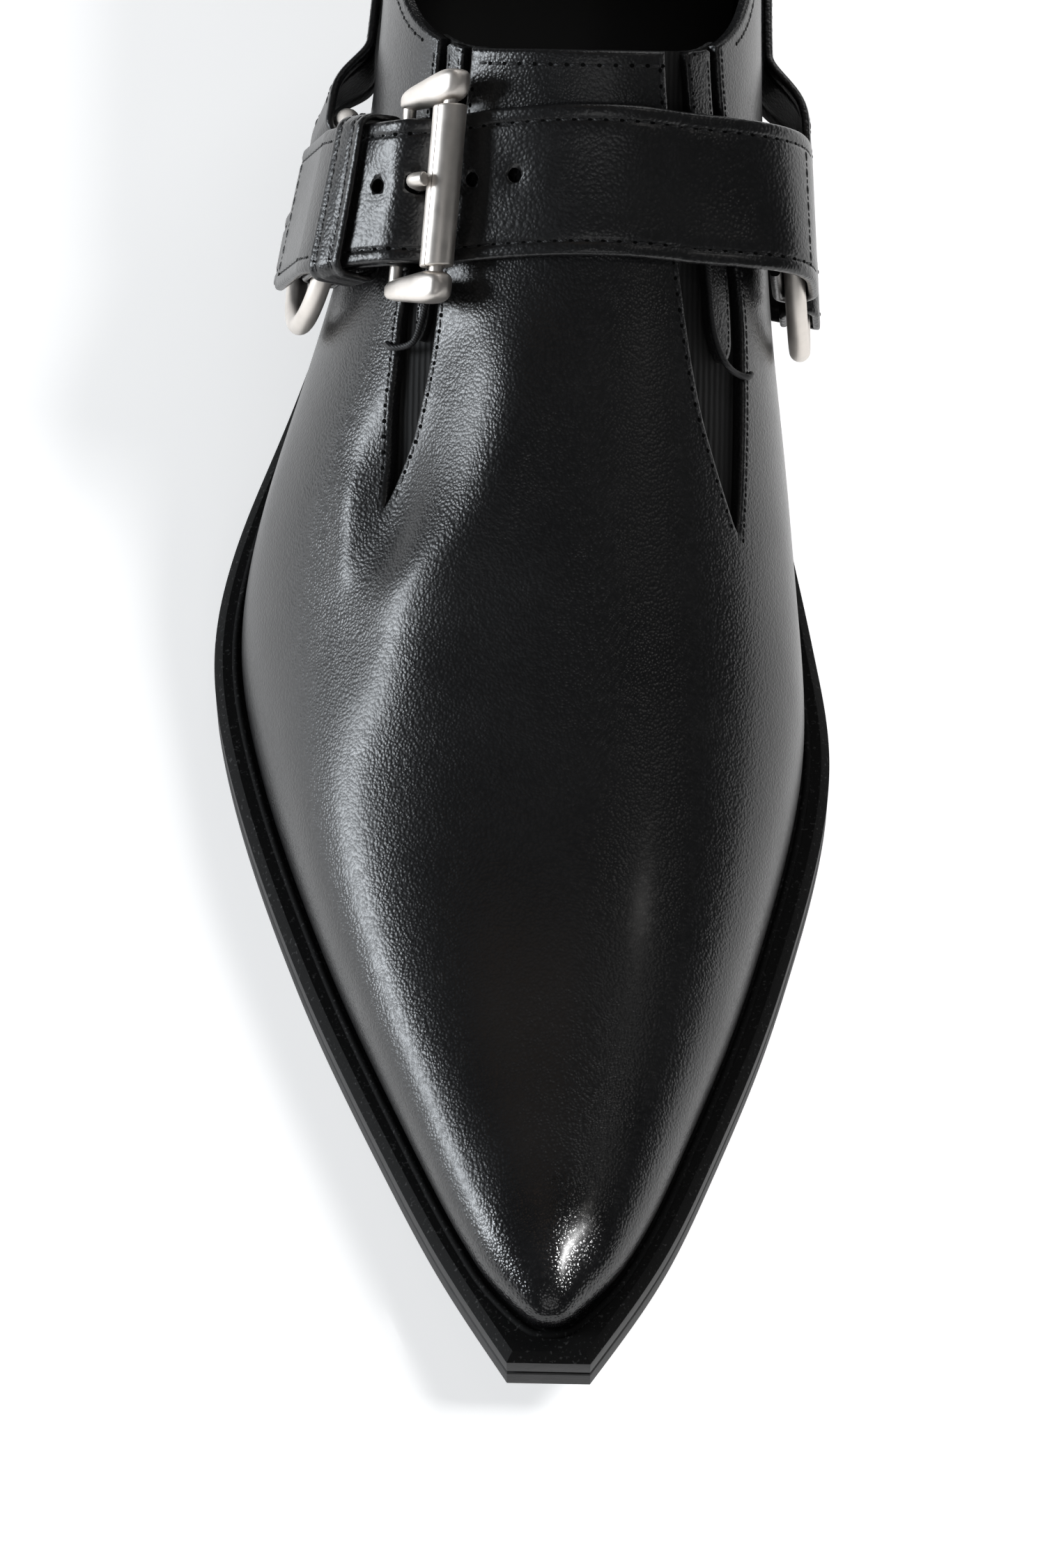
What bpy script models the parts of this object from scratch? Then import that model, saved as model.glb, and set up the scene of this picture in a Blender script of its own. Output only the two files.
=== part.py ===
"""Right-foot pointed western slip-on with a buckled harness strap.

Lengths are in millimetres until a mesh is made. s runs from the back of the sole to its
toe, x points to the inner side of the foot, z is up from the floor, and y is -s plus half
the sole's length. side is -1 for the outer half of the shoe and +1 for the inner half.
"""
import math

import bmesh
import bpy
import numpy as np
from mathutils import Matrix

MM = 0.001
GAP = 0.3
MERGE = 1e-6
OBJECT_NAME = "pointed_cowboy_shoe"
OUTER, INNER = -1, 1
TO_TOE = (0.0, -1.0, 0.0)
UPWARD = (0.0, 0.0, 1.0)

# Sole: driving sizes
SOLE_LENGTH = 310.0
OUTSOLE_THICK = 4.0
WELT_THICK = 4.8
EDGE_GROOVE = 0.4
WELT_BEVEL = 1.5
HEEL_ROUND = 33.0
SEAT_BACK = 1.0
HEEL_BREAST = 66.0
TOPLIFT_THICK = 7.0
HEEL_UNDERCUT = 10.0
HEEL_CURVE = 1.3
BREAST_LEAN = 4.0
HEEL_TAPER = 0.10
HEEL_MARGIN = 1.2

# Upper: driving sizes
UPPER_BACK = 4.0
UPPER_TIP = 304.3
TOE_ROUND = 12.0
TOE_BLUNT = 0.6
WALL = 1.8
UPPER_ROWS = 12
INSOLE_THICK = 2.5
GORE_THICK = 1.0
GORE_MARGIN = 0.04
TAB_LIFT = -0.2
TAB_STATION = {OUTER: 147.0, INNER: 150.0}
TAB_ROUND = 4.0

# Harness: driving sizes, places along the strap measured from the crown
STRAP_WIDE = 25.0
STRAP_THICK = 1.8
STRAP_TOP = 131.0
STRAP_SWEEP = {OUTER: 30.6, INNER: 22.4}
STRAP_LIE = 1.3
STRAP_RETURN = 14.0
STRAP_JOIN = (16.0, 42.0)
STRAP_END = 68.0
STRAP_STEP = 4.8
TURN_FROM, TURN_TO = 32.0, 44.0
HOLES = (12.0, 19.6, 33.0)
HOLE_RADIUS = 1.2
HOLE_SIDE = -1.5
HOLE_CUT = 1.4
RING_AT = {OUTER: 63.0, INNER: 56.0}
RING_LIFT = {OUTER: 4.6, INNER: 5.0}
RING_LEAN = 6.0
RING_SIGHT = 8.0
RING_RADIUS = 18.0
RING_WIRE = 1.8
BILLET_THICK = 1.0
BILLET_LEAVE = 15.0
FOLD_LEG = 2.0
ROLLER_AT = 22.0
ROLLER_LIFT = 6.0
ROLLER_RADIUS = 2.8
ROLLER_BORE = 1.6
ROLLER_OVER = 0.7
AXLE_RADIUS = 1.2
BAR_AT = 32.3
BAR_LIFT = 3.2
BAR_RADIUS = 1.1
BAR_SLACK = 0.4
ARM_WIDE = 5.8
ARM_TALL = 5.6
ARM_BACK = 3.2
ARM_END = 1.0
ARM_CLEAR = 1.3
ARM_BEVEL = 1.3
ARM_TAPER = 0.62
PRONG_AT = 27.2
PRONG_RADIUS = 1.1
PRONG_HOLE = 2.5
KEEPER_AT = 38.8
KEEPER_WIDE = 5.4
KEEPER_THICK = 1.2
KEEPER_LIE = 2.2
KEEPER_CORNER = 1.6
HEEL_STRAP_WIDE = 14.0
HEEL_STRAP_THICK = 1.5
HEEL_STRAP_BACK = 64.0
HEEL_STRAP_SIGHT = 12.0
HEEL_STRAP_JOIN = (18.0, 32.0)
ARCH_STRAP_WIDE = 13.0
ARCH_STRAP_THICK = 1.4
ARCH_STRAP_TURN = 172.0
ARCH_STRAP_LEG = 3.0
ARCH_STRAP_DROP = 20.0
ARCH_STRAP_SEAT = 2.0
RIVET_RADIUS = 2.2
RIVET_TALL = 1.3
RIVET_SPREAD = 3.0
RIVET_ROW = 2

# Sole sections: s, half widths from the heel-to-toe axis
SOLE_PLAN = (
    # s, outer, inner
    (0, 33.0, 33.0),
    (35, 33.5, 33.5),
    (70, 34.5, 32.0),
    (100, 39.5, 31.5),
    (130, 49.5, 34.5),
    (150, 57.0, 39.2),
    (170, 60.2, 43.3),
    (190, 57.6, 45.6),
    (210, 52.0, 43.4),
    (230, 44.8, 38.6),
    (250, 36.6, 32.8),
    (270, 27.6, 25.8),
    (290, 18.0, 17.8),
    (310, 6.6, 6.6),
)

# Underside of the sole: heel seat, arch, flat tread, toe spring
SOLE_RISE = (
    # s, z
    (0, 37.5),
    (66, 34.0),
    (90, 26.5),
    (115, 16.0),
    (140, 6.5),
    (160, 1.4),
    (174, 0.0),
    (234, 0.0),
    (258, 2.2),
    (284, 5.8),
    (310, 10.5),
)

# How far the welt stands out from the foot of the upper
WELT_MARGIN = (
    # s, margin
    (0, 2.4),
    (70, 2.6),
    (120, 3.4),
    (165, 4.8),
    (210, 5.0),
    (310, 4.3),
)

# Crown of the last, the line along its top
CROWN = (
    # s, x, z
    (40, 0.0, 142.0),
    (62, 0.0, 137.0),
    (84, 1.0, 128.0),
    (107, 2.0, 110.5),
    (130, 3.0, 90.5),
    (160, 3.0, 73.0),
    (190, 2.5, 57.5),
    (205, 2.3, 49.6),
    (220, 2.0, 42.6),
    (235, 1.5, 37.2),
    (250, 1.0, 33.8),
    (281, 0.0, 30.2),
    (304, 0.0, 28.6),
)

# Last sections: where each one meets the crown, and how full its two sides are
LAST = (
    # s, crown s, fullness out, fullness in, swell out, swell in
    (4, 46, 3.0, 3.0, 3.0, 3.0),
    (40, 62, 3.0, 3.0, 2.5, 2.5),
    (75, 84, 2.6, 2.8, 1.5, 3.5),
    (105, 107, 2.0, 2.6, 1.0, 5.0),
    (130, 130, 1.8, 2.5, 1.5, 5.0),
    (160, 160, 1.75, 2.3, 1.0, 3.2),
    (190, 190, 1.85, 2.1, 0.5, 1.2),
    (220, 220, 2.6, 2.15, 1.0, 1.0),
    (250, 249, 3.3, 2.3, 1.0, 1.0),
    (280, 272, 3.2, 2.5, 1.0, 1.0),
    (304.3, 283, 2.8, 2.8, 1.0, 1.0),
)

# Collar as seen from the side, from the back to the throat
COLLAR = (
    # s, z
    (-12, 101.0),
    (20, 94.0),
    (45, 89.5),
    (72, 88.5),
    (95, 91.5),
    (108, 96.5),
    (116, 105.0),
)

# V-shaped cut-outs beside the tongue, from the collar to their tips
GORE = {
    OUTER: (
        # s, v of the quarter's edge, v of the vamp's edge
        (92, 0.600, 0.705),
        (110, 0.592, 0.690),
        (125, 0.585, 0.672),
        (141, 0.583, 0.662),
        (151, 0.590, 0.656),
        (160, 0.587, 0.638),
        (166, 0.582, 0.604),
        (171, 0.576, 0.576),
    ),
    INNER: (
        (92, 0.580, 0.770),
        (110, 0.560, 0.770),
        (125, 0.525, 0.755),
        (140, 0.502, 0.738),
        (150, 0.515, 0.714),
        (159, 0.528, 0.679),
        (167, 0.540, 0.624),
        (175, 0.553, 0.553),
    ),
}

# Tabs on the gores: shares of the way from the vamp's edge to the quarter's
TAB = {
    OUTER: ((92, 0.25, 0.92), (120, 0.22, 0.70), (147, 0.24, 0.60)),
    INNER: ((92, 0.30, 0.92), (120, 0.38, 0.84), (150, 0.42, 0.80)),
}

# Prong from the buckle's bar up through the strap
PRONG = (
    # a beyond the roller, height
    (8.6, 3.6),
    (5.7, 4.5),
    (4.7, 6.6),
    (3.6, 9.1),
)

# Layers of the strap beyond the roller, as heights of their middles over the upper
LAYERS = (
    # a, strap, billet over, billet under
    (22.0, 1.3, 5.5, 1.0),
    (24.5, 2.1, 5.5, 1.0),
    (30.0, 7.3, 5.5, 1.0),
    (32.3, 7.8, 5.5, 1.0),
    (34.6, 8.3, 6.2, 3.6),
    (40.0, 9.4, 7.3, 3.8),
    (44.0, 10.5, 8.5, 3.4),
)


def spline(rows, column):
    """Natural cubic through one column of a table, as a function of its first column."""
    table = np.array(rows, float)
    x, y = table[:, 0], table[:, column]
    h = np.diff(x)
    slope = np.diff(y) / h
    system = np.eye(len(x))
    right = np.zeros(len(x))
    for i in range(1, len(x) - 1):
        system[i, i - 1:i + 2] = h[i - 1], 2 * (h[i - 1] + h[i]), h[i]
        right[i] = 6 * (slope[i] - slope[i - 1])
    bend = np.linalg.solve(system, right)

    def at(q):
        q = np.clip(q, x[0], x[-1])
        i = np.clip(np.searchsorted(x, q) - 1, 0, len(h) - 1)
        a, b = x[i + 1] - q, q - x[i]
        curve = (bend[i] * a ** 3 + bend[i + 1] * b ** 3) / (6 * h[i])
        return curve + (y[i] / h[i] - bend[i] * h[i] / 6) * a + (y[i + 1] / h[i] - bend[i + 1] * h[i] / 6) * b

    return at


def monotone(rows, column):
    """Cubic through one column that keeps level stretches level."""
    table = np.array(rows, float)
    x, y = table[:, 0], table[:, column]
    h = np.diff(x)
    slope = np.diff(y) / h
    tangent = np.zeros(len(x))
    tangent[0], tangent[-1] = slope[0], slope[-1]
    for i in range(1, len(x) - 1):
        if slope[i - 1] * slope[i] > 0:
            near, far = 2 * h[i] + h[i - 1], h[i] + 2 * h[i - 1]
            tangent[i] = (near + far) / (near / slope[i - 1] + far / slope[i])

    def at(q):
        q = np.clip(q, x[0], x[-1])
        i = np.clip(np.searchsorted(x, q) - 1, 0, len(h) - 1)
        t = (q - x[i]) / h[i]
        start = (1 + 2 * t) * (1 - t) ** 2 * y[i] + t * (1 - t) ** 2 * h[i] * tangent[i]
        return start + t * t * (3 - 2 * t) * y[i + 1] + t * t * (t - 1) * h[i] * tangent[i + 1]

    return at


sole_half = {OUTER: spline(SOLE_PLAN, 1), INNER: spline(SOLE_PLAN, 2)}
sole_rise = monotone(SOLE_RISE, 1)
welt_margin = monotone(WELT_MARGIN, 1)
crown_x = spline(CROWN, 1)
crown_z = spline(CROWN, 2)
crown_s = spline(LAST, 1)
fullness = {OUTER: spline(LAST, 2), INNER: spline(LAST, 3)}
swell = {OUTER: spline(LAST, 4), INNER: spline(LAST, 5)}
collar_z = monotone(COLLAR, 1)
gore_quarter = {side: monotone(GORE[side], 1) for side in GORE}
gore_vamp = {side: monotone(GORE[side], 2) for side in GORE}


def place(x, s, z):
    """Point in the shoe's frame from its width, station and height."""
    return np.stack(np.broadcast_arrays(x, SOLE_LENGTH / 2 - s, z), -1).astype(float)


def half_width(side, s, margin):
    """Half width of the sole's outline, drawn in by a margin square to the edge."""
    step = 0.5
    lean = (sole_half[side](s + step) - sole_half[side](s - step)) / (2 * step)
    return sole_half[side](s) - margin * np.sqrt(1 + lean ** 2)


def run_stations(back, front, heel_round, toe_round, heel_steps, steps, toe_steps):
    """Stations and closing factors along an outline with a round heel and maybe a round toe."""
    turn = np.linspace(0, math.pi / 2, heel_steps + 1)
    s = list(back + heel_round * (1 - np.cos(turn)))
    k = list(np.sin(turn))
    straight = np.linspace(back + heel_round, front - toe_round, steps + 1)[1:]
    s += list(straight)
    k += [1.0] * steps
    if toe_round:
        turn = np.linspace(math.pi / 2, 0, toe_steps + 1)[1:]
        s += list(front - toe_round * (1 - np.cos(turn)))
        k += list(np.sin(turn))
    return np.array(s), np.array(k)


# Column coordinate of the upper: 0 at the back of the heel, 1 at the tip of the toe
HEEL_ARC = HEEL_ROUND * math.pi / 2
TOE_ARC = TOE_ROUND * math.pi / 2
MIDDLE = UPPER_TIP - TOE_ROUND - UPPER_BACK - HEEL_ROUND
GIRTH = HEEL_ARC + MIDDLE + TOE_ARC


def station(u):
    """Station of a column on the upper's foot, and its closing factor."""
    run = np.clip(u, 0, 1) * GIRTH
    heel = np.clip(run / HEEL_ROUND, 0, math.pi / 2)
    toe = np.clip((GIRTH - run) / TOE_ROUND, 0, math.pi / 2)
    middle = np.clip(run - HEEL_ARC, 0, MIDDLE)
    s = UPPER_BACK + HEEL_ROUND * (1 - np.cos(heel)) + middle + TOE_ROUND * np.cos(toe)
    return s, np.sin(heel) * np.sin(toe) ** TOE_BLUNT


def column(s):
    """Column coordinate of a station between the round heel and the round toe."""
    return (HEEL_ARC + s - UPPER_BACK - HEEL_ROUND) / GIRTH


def seat_z(s):
    """Top of the welt, where the upper stands."""
    return sole_rise(s) + OUTSOLE_THICK + GAP + WELT_THICK


def last(side, u, v):
    """Outer face of the upper: v is 0 at its foot and 1 at the crown of the section."""
    s, close = station(u)
    top_s = crown_s(s)
    top_x = crown_x(top_s)
    foot_x = side * half_width(side, s, welt_margin(s)) * close
    full = fullness[side](s)
    rise = np.sin(np.clip(v, 0, 1) * math.pi / 2) ** (2 / full)
    reach = np.clip(1 - rise ** full, 0, 1) ** (1 / full)
    out_x, out_s = foot_x - top_x, s - top_s
    reach = reach + swell[side](s) * 4 * rise * (1 - rise) / np.hypot(out_x, out_s)
    foot_z = seat_z(s) + GAP
    at_s = top_s + out_s * reach
    return place(top_x + out_x * reach, at_s, foot_z + (crown_z(at_s) - foot_z) * rise)


def level(side, s, z):
    """v coordinate on column s at height z, where the section stands square to the floor."""
    foot_z = seat_z(s) + GAP
    rise = np.clip((z - foot_z) / (crown_z(crown_s(s)) - foot_z), 0, 1)
    return np.arcsin(rise ** (fullness[side](s) / 2)) * 2 / math.pi


def unit(a):
    return a / np.linalg.norm(a, axis=-1, keepdims=True)


def outward(side, u, v):
    """Unit normal of the upper's outer face."""
    e = 1e-4
    along = last(side, u + e, v) - last(side, u - e, v)
    up = last(side, u, np.minimum(v + e, 1)) - last(side, u, np.maximum(v - e, 0))
    return unit(side * np.cross(up, along))


def skin(side, u, v, lift):
    """Point at a height over the upper's outer face."""
    return last(side, u, v) + np.asarray(lift)[..., None] * outward(side, u, v)


def make_material(name, colour, roughness, metallic=0.0):
    material = bpy.data.materials.new(name)
    material.use_nodes = True
    shader = material.node_tree.nodes["Principled BSDF"]
    shader.inputs["Base Color"].default_value = (*colour, 1.0)
    shader.inputs["Roughness"].default_value = roughness
    shader.inputs["Metallic"].default_value = metallic
    return material


def make_collection(name):
    collection = bpy.data.collections.new(name)
    bpy.context.scene.collection.children.link(collection)
    return collection


def add_object(name, mesh, material):
    """Object in the shoe's collection, carried by the root."""
    mesh.materials.clear()
    mesh.materials.append(material)
    mesh.shade_smooth()
    mesh.set_sharp_from_angle(angle=math.radians(40))
    obj = bpy.data.objects.new(name, mesh)
    SHOE.objects.link(obj)
    obj.parent = ROOT
    return obj


def mesh_from(name, points, faces):
    """Welded mesh with outward faces from millimetre points."""
    mesh = bpy.data.meshes.new(name)
    mesh.from_pydata([tuple(p) for p in np.asarray(points) * MM], [], [tuple(map(int, f)) for f in faces])
    work = bmesh.new()
    work.from_mesh(mesh)
    bmesh.ops.remove_doubles(work, verts=work.verts, dist=MERGE)
    bmesh.ops.recalc_face_normals(work, faces=work.faces)
    work.to_mesh(mesh)
    work.free()
    return mesh


def slab_mesh(name, sheets, closed=False):
    """Closed solid through stacked point sheets, sheets[level][row][column], bottom first."""
    sheets = np.asarray(sheets, float)
    levels, rows, columns, _ = sheets.shape
    index = np.arange(levels * rows * columns).reshape(levels, rows, columns)
    faces = []
    for i in range(rows if closed else rows - 1):
        n = (i + 1) % rows
        for j in range(columns - 1):
            faces.append((index[0, i, j], index[0, n, j], index[0, n, j + 1], index[0, i, j + 1]))
            faces.append((index[-1, i, j], index[-1, i, j + 1], index[-1, n, j + 1], index[-1, n, j]))
        for k in range(levels - 1):
            for j, turn in ((0, 1), (columns - 1, -1)):
                wall = (index[k, i, j], index[k + 1, i, j], index[k + 1, n, j], index[k, n, j])
                faces.append(wall[::turn])
    if not closed:
        for i, turn in ((0, -1), (rows - 1, 1)):
            for k in range(levels - 1):
                for j in range(columns - 1):
                    wall = (index[k, i, j], index[k + 1, i, j], index[k + 1, i, j + 1], index[k, i, j + 1])
                    faces.append(wall[::turn])
    return mesh_from(name, sheets.reshape(-1, 3), faces)


def add_cutter(name, mesh):
    obj = bpy.data.objects.new(name, mesh)
    CUTTERS.objects.link(obj)
    obj.parent = ROOT
    obj.hide_render = True
    obj.display_type = "WIRE"
    return obj


def cut(obj, cutter):
    modifier = obj.modifiers.new("cut_" + cutter.name, "BOOLEAN")
    modifier.operation = "DIFFERENCE"
    modifier.solver = "EXACT"
    modifier.object = cutter


def sole_sheet(margin, lift):
    """Outer and inner edge points of one level of the sole's edge."""
    s, close = run_stations(margin, SOLE_LENGTH - margin, HEEL_ROUND, 0, 7, 40, 0)
    z = sole_rise(s) + lift
    edges = [place(side * half_width(side, s, margin) * close, s, z) for side in (OUTER, INNER)]
    return np.stack(edges, 1)


def add_sole():
    """Outsole and welt: one outline, a groove between them, a bevel on top."""
    edge = ((0.5, 0.0), (0.0, 0.5), (0.0, OUTSOLE_THICK - EDGE_GROOVE), (EDGE_GROOVE, OUTSOLE_THICK))
    sheets = [sole_sheet(margin, lift) for margin, lift in edge]
    add_object("outsole", slab_mesh("outsole", sheets), RUBBER)

    base = OUTSOLE_THICK + GAP
    edge = (
        (EDGE_GROOVE, base),
        (0.0, base + EDGE_GROOVE),
        (0.0, base + WELT_THICK - WELT_BEVEL),
        (WELT_BEVEL, base + WELT_THICK),
    )
    sheets = [sole_sheet(margin, lift) for margin, lift in edge]
    add_object("welt", slab_mesh("welt", sheets), WELT)


def heel_sheet(drop, z=None):
    """Outline of the heel block: drop is 0 under the sole and 1 at the floor."""
    back = SEAT_BACK + HEEL_UNDERCUT * drop ** HEEL_CURVE
    breast = HEEL_BREAST - BREAST_LEAN * drop
    s, close = run_stations(back, breast, HEEL_ROUND * (1 - HEEL_TAPER * drop), 0, 8, 5, 0)
    top = sole_rise(np.linspace(SEAT_BACK, HEEL_BREAST, len(s))) - GAP
    foot = TOPLIFT_THICK + GAP
    height = top + (foot - top) * drop if z is None else np.full(len(s), z)
    edges = []
    for side in (OUTER, INNER):
        width = (half_width(side, np.minimum(s, HEEL_BREAST), HEEL_MARGIN)) * (1 - HEEL_TAPER * drop)
        edges.append(place(side * width * close, s, height))
    return np.stack(edges, 1)


def add_heel():
    """Underslung stacked heel and the layer that wears."""
    block = [heel_sheet(drop) for drop in (1.0, 0.8, 0.6, 0.4, 0.2, 0.0)]
    add_object("heel_stack", slab_mesh("heel_stack", block), HEEL)
    lift = [heel_sheet(1.0, z) for z in (0.0, TOPLIFT_THICK)]
    add_object("heel_toplift", slab_mesh("heel_toplift", lift), RUBBER)


def add_insole():
    """Insole inside the upper, on the welt."""
    inset = WALL + 2 * GAP
    s, close = run_stations(UPPER_BACK + inset, UPPER_TIP - inset, HEEL_ROUND, TOE_ROUND, 6, 26, 4)
    sheets = []
    for lift in (GAP, GAP + INSOLE_THICK):
        edges = []
        for side in (OUTER, INNER):
            width = half_width(side, s, welt_margin(s) + inset) * close
            edges.append(place(side * width, s, seat_z(s) + lift))
        sheets.append(np.stack(edges, 1))
    add_object("insole", slab_mesh("insole", sheets), LINING)


def add_upper():
    """One shell over the last, cut open at the collar and at the two gores."""
    heel, toe = HEEL_ARC / GIRTH, 1 - TOE_ARC / GIRTH
    spans = (np.linspace(0, heel, 8), np.linspace(heel, toe, 30), np.linspace(toe, 1, 7))
    u = np.unique(np.concatenate(spans).round(9))[:, None]
    v = np.linspace(0, 1, UPPER_ROWS + 1)[None, :]
    outer = last(OUTER, u, v)
    inner = last(INNER, u, v)
    across = np.concatenate([outer, inner[:, -2::-1]], 1)
    n, m = across.shape[:2]
    index = np.arange(n * m).reshape(n, m)
    faces = []
    for i in range(n - 1):
        for j in range(m - 1):
            faces.append((index[i, j], index[i, j + 1], index[i + 1, j + 1], index[i + 1, j]))
    upper = add_object("upper", mesh_from("upper", across.reshape(-1, 3), faces), LEATHER)
    shell = upper.modifiers.new("wall", "SOLIDIFY")
    shell.thickness = WALL * MM
    shell.offset = -1
    shell.use_even_offset = True
    for side in (OUTER, INNER):
        cut(upper, gore_cutter(side))
    cut(upper, COLLAR_CUTTER)


def collar_cutter():
    """Everything over the collar line, as a prism across the shoe."""
    high, reach = 200.0, 80.0
    s = np.linspace(COLLAR[0][0], COLLAR[-1][0], 40)
    line = [(a, b) for a, b in zip(s, collar_z(s))]
    outline = line + [(COLLAR[-1][0] + high - COLLAR[-1][1], high), (COLLAR[0][0], high)]
    points = np.array([place(x, a, b) for a, b in outline for x in (-reach, reach)])
    count = len(outline)
    faces = [[2 * i for i in range(count)], [2 * i + 1 for i in range(count)][::-1]]
    for i in range(count):
        n = (i + 1) % count
        faces.append((2 * i, 2 * i + 1, 2 * n + 1, 2 * n))
    return add_cutter("collar_cutter", mesh_from("collar_cutter", points, faces))


def patch(side, s, low, high, lifts, across=4):
    """Stacked sheets of a patch on the upper between two v edges, one row per station."""
    share = np.linspace(0, 1, across)[None, :]
    v = low[:, None] + (high - low)[:, None] * share
    u = np.broadcast_to(column(s)[:, None], v.shape)
    return [skin(side, u, v, np.full(v.shape, lift)) for lift in lifts]


def gore_cutter(side):
    """Solid that opens the V beside the tongue."""
    s = np.linspace(GORE[side][0][0], GORE[side][-1][0], 13)
    sheets = patch(side, s, gore_quarter[side](s), gore_vamp[side](s), (-2 * WALL, WALL), 3)
    return add_cutter("gore_cutter_" + SIDE_NAME[side], slab_mesh("gore_cutter", sheets))


def add_gore(side):
    """Gusset inside the V and the small round-ended tab over it."""
    name = SIDE_NAME[side]
    s = np.linspace(GORE[side][0][0], GORE[side][-1][0] + 3, 14)
    top = -(WALL + GAP)
    low, high = gore_quarter[side](s) - GORE_MARGIN, gore_vamp[side](s) + GORE_MARGIN
    panel = slab_mesh("gore", patch(side, s, low, high, (top - GORE_THICK, top), 6))
    cut(add_object("gore_" + name, panel, ELASTIC), COLLAR_CUTTER)

    end = TAB_STATION[side]
    near, far = monotone(TAB[side], 1), monotone(TAB[side], 2)
    turn = np.linspace(0, math.pi / 2, 5)
    straight = np.linspace(TAB[side][0][0], end - TAB_ROUND, 9)[:-1]
    s = np.concatenate([straight, end - TAB_ROUND * (1 - np.sin(turn))])
    close = np.concatenate([np.ones(len(straight)), np.cos(turn)])
    middle, half = (near(s) + far(s)) / 2, (far(s) - near(s)) / 2 * close
    across = gore_vamp[side](s) - gore_quarter[side](s)
    low, high = gore_vamp[side](s) - across * (middle + half), gore_vamp[side](s) - across * (middle - half)
    tab = slab_mesh("gore_tab", patch(side, s, low, high, (-WALL, TAB_LIFT), 3))
    cut(add_object("gore_tab_" + name, tab, LEATHER), COLLAR_CUTTER)


def eased(t):
    t = np.clip(t, 0, 1)
    return t * t * (3 - 2 * t)


def measure_strap(side):
    """Length along the strap's centre line, and the w coordinate it belongs to."""
    w = np.linspace(0, 0.95, 160)
    line = last(side, column(STRAP_TOP - STRAP_SWEEP[side] * w ** 2), 1 - w)
    return np.concatenate([[0], np.cumsum(np.linalg.norm(np.diff(line, axis=0), axis=1))]), w


def strap_point(a, b, h):
    """Point of strap space: a from the crown, minus on the outer side, b to the toe, h up."""
    side = OUTER if a < 0 else INNER
    w = np.interp(abs(a), *STRAP_RUN[side])
    u, v = column(STRAP_TOP - STRAP_SWEEP[side] * w ** 2), 1 - w
    e = 1e-3
    stretch = np.linalg.norm(last(side, u + e, v) - last(side, u - e, v)) / (2 * e)
    u = u + np.asarray(b, float) / stretch
    return skin(side, u, np.full(u.shape, v), np.full(u.shape, h))


def turned_row(a, b, h):
    """Row of the strap's outer part, which turns square to the ring as it nears it."""
    _, normal, up = RINGS[OUTER]
    across = np.cross(normal, up)
    across = across * np.sign(across @ TO_TOE)
    row = strap_point(-a, b, h)
    square = strap_point(-a, 0.0, h) + np.asarray(b)[..., None] * across
    return row + (square - row) * eased((a - TURN_FROM) / (TURN_TO - TURN_FROM))


def heel_point(side, d, b, h):
    """Point of heel strap space: d back from the ring's centre, b up, h out."""
    s, z, reach = HEEL_RUN[side]
    u = column(s) * np.clip(1 - d / reach, 0, 1)
    at = station(u)[0]
    v = level(side, at, HEEL_STRAP_BACK + (z - HEEL_STRAP_BACK) * (1 - d / reach) ** 2)
    e = 1e-3
    stretch = np.linalg.norm(last(side, u, v + e) - last(side, u, v - e)) / (2 * e)
    v = v + np.asarray(b, float) / stretch
    return skin(side, np.full(v.shape, u), v, np.full(v.shape, h))


def measure_heel(side):
    """Station and height of a ring's centre, and the length from it to the back of the heel."""
    at = side * RING_AT[side]
    _, y, z = strap_point(at, 0.0, 0.0)
    s = SOLE_LENGTH / 2 - y
    u = np.linspace(column(s), 0, 60)
    line = last(side, u, level(side, station(u)[0], np.linspace(z, HEEL_STRAP_BACK, 60)))
    return s, z, np.linalg.norm(np.diff(line, axis=0), axis=1).sum()


def ring_frame(side):
    """Centre of a ring, its outward normal and the way from it along the strap to the crown."""
    at = side * RING_AT[side]
    centre = strap_point(at, 0.0, RING_LIFT[side])
    high = at - side * RING_LEAN
    normal = strap_point(high, 0.0, 1.0) - strap_point(high, 0.0, 0.0)
    up = strap_point(at - side * RING_SIGHT, 0.0, 0.0) - strap_point(at, 0.0, 0.0)
    return centre, normal, unit(up - normal * (up @ normal))


def ring_rows(side, toward, facing, path, b):
    """Rows of a strap in a ring's own plane: path holds distance from its centre and height."""
    centre, normal, _ = RINGS[side]
    across = np.cross(normal, toward)
    across = across * np.sign(across @ facing)
    reach, height = np.array(path).T
    rows = centre + reach[:, None, None] * toward + height[:, None, None] * normal
    return rows + b[None, :, None] * across


def fold_path(width, thick, leg):
    """Mid line of a strap end: its inner leg, then round the wire to the outer side."""
    axis = math.sqrt((RING_RADIUS - RING_WIRE) ** 2 - width ** 2 / 4) + RING_WIRE
    radius = RING_WIRE + GAP + thick / 2
    turn = np.linspace(-math.pi / 2, math.pi / 2, 8)
    path = [(axis + leg, -radius), (axis + leg / 2, -radius)]
    return path + [(axis - radius * math.cos(t), radius * math.sin(t)) for t in turn], radius


def join_rows(ring, surface):
    """Blend of rows that leave a ring into rows that lie on the upper."""
    share = eased(np.linspace(0, 1, len(ring)))[:, None, None]
    return ring + (surface - ring) * share


def ribbon(name, rows, thick, material):
    """Strap of one thickness about a grid of middle points."""
    rows = np.asarray(rows, float)
    along = np.gradient(rows, axis=0)
    across = np.gradient(rows, axis=1)
    normal = unit(np.cross(along, across))
    sheets = [rows - normal * thick / 2, rows + normal * thick / 2]
    return add_object(name, slab_mesh(name, sheets), material)


def layer(a, index):
    """Height of one layer of the strap on the outer side."""
    table = np.array(LAYERS)
    return np.interp(a, table[:, 0], table[:, index])


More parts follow.
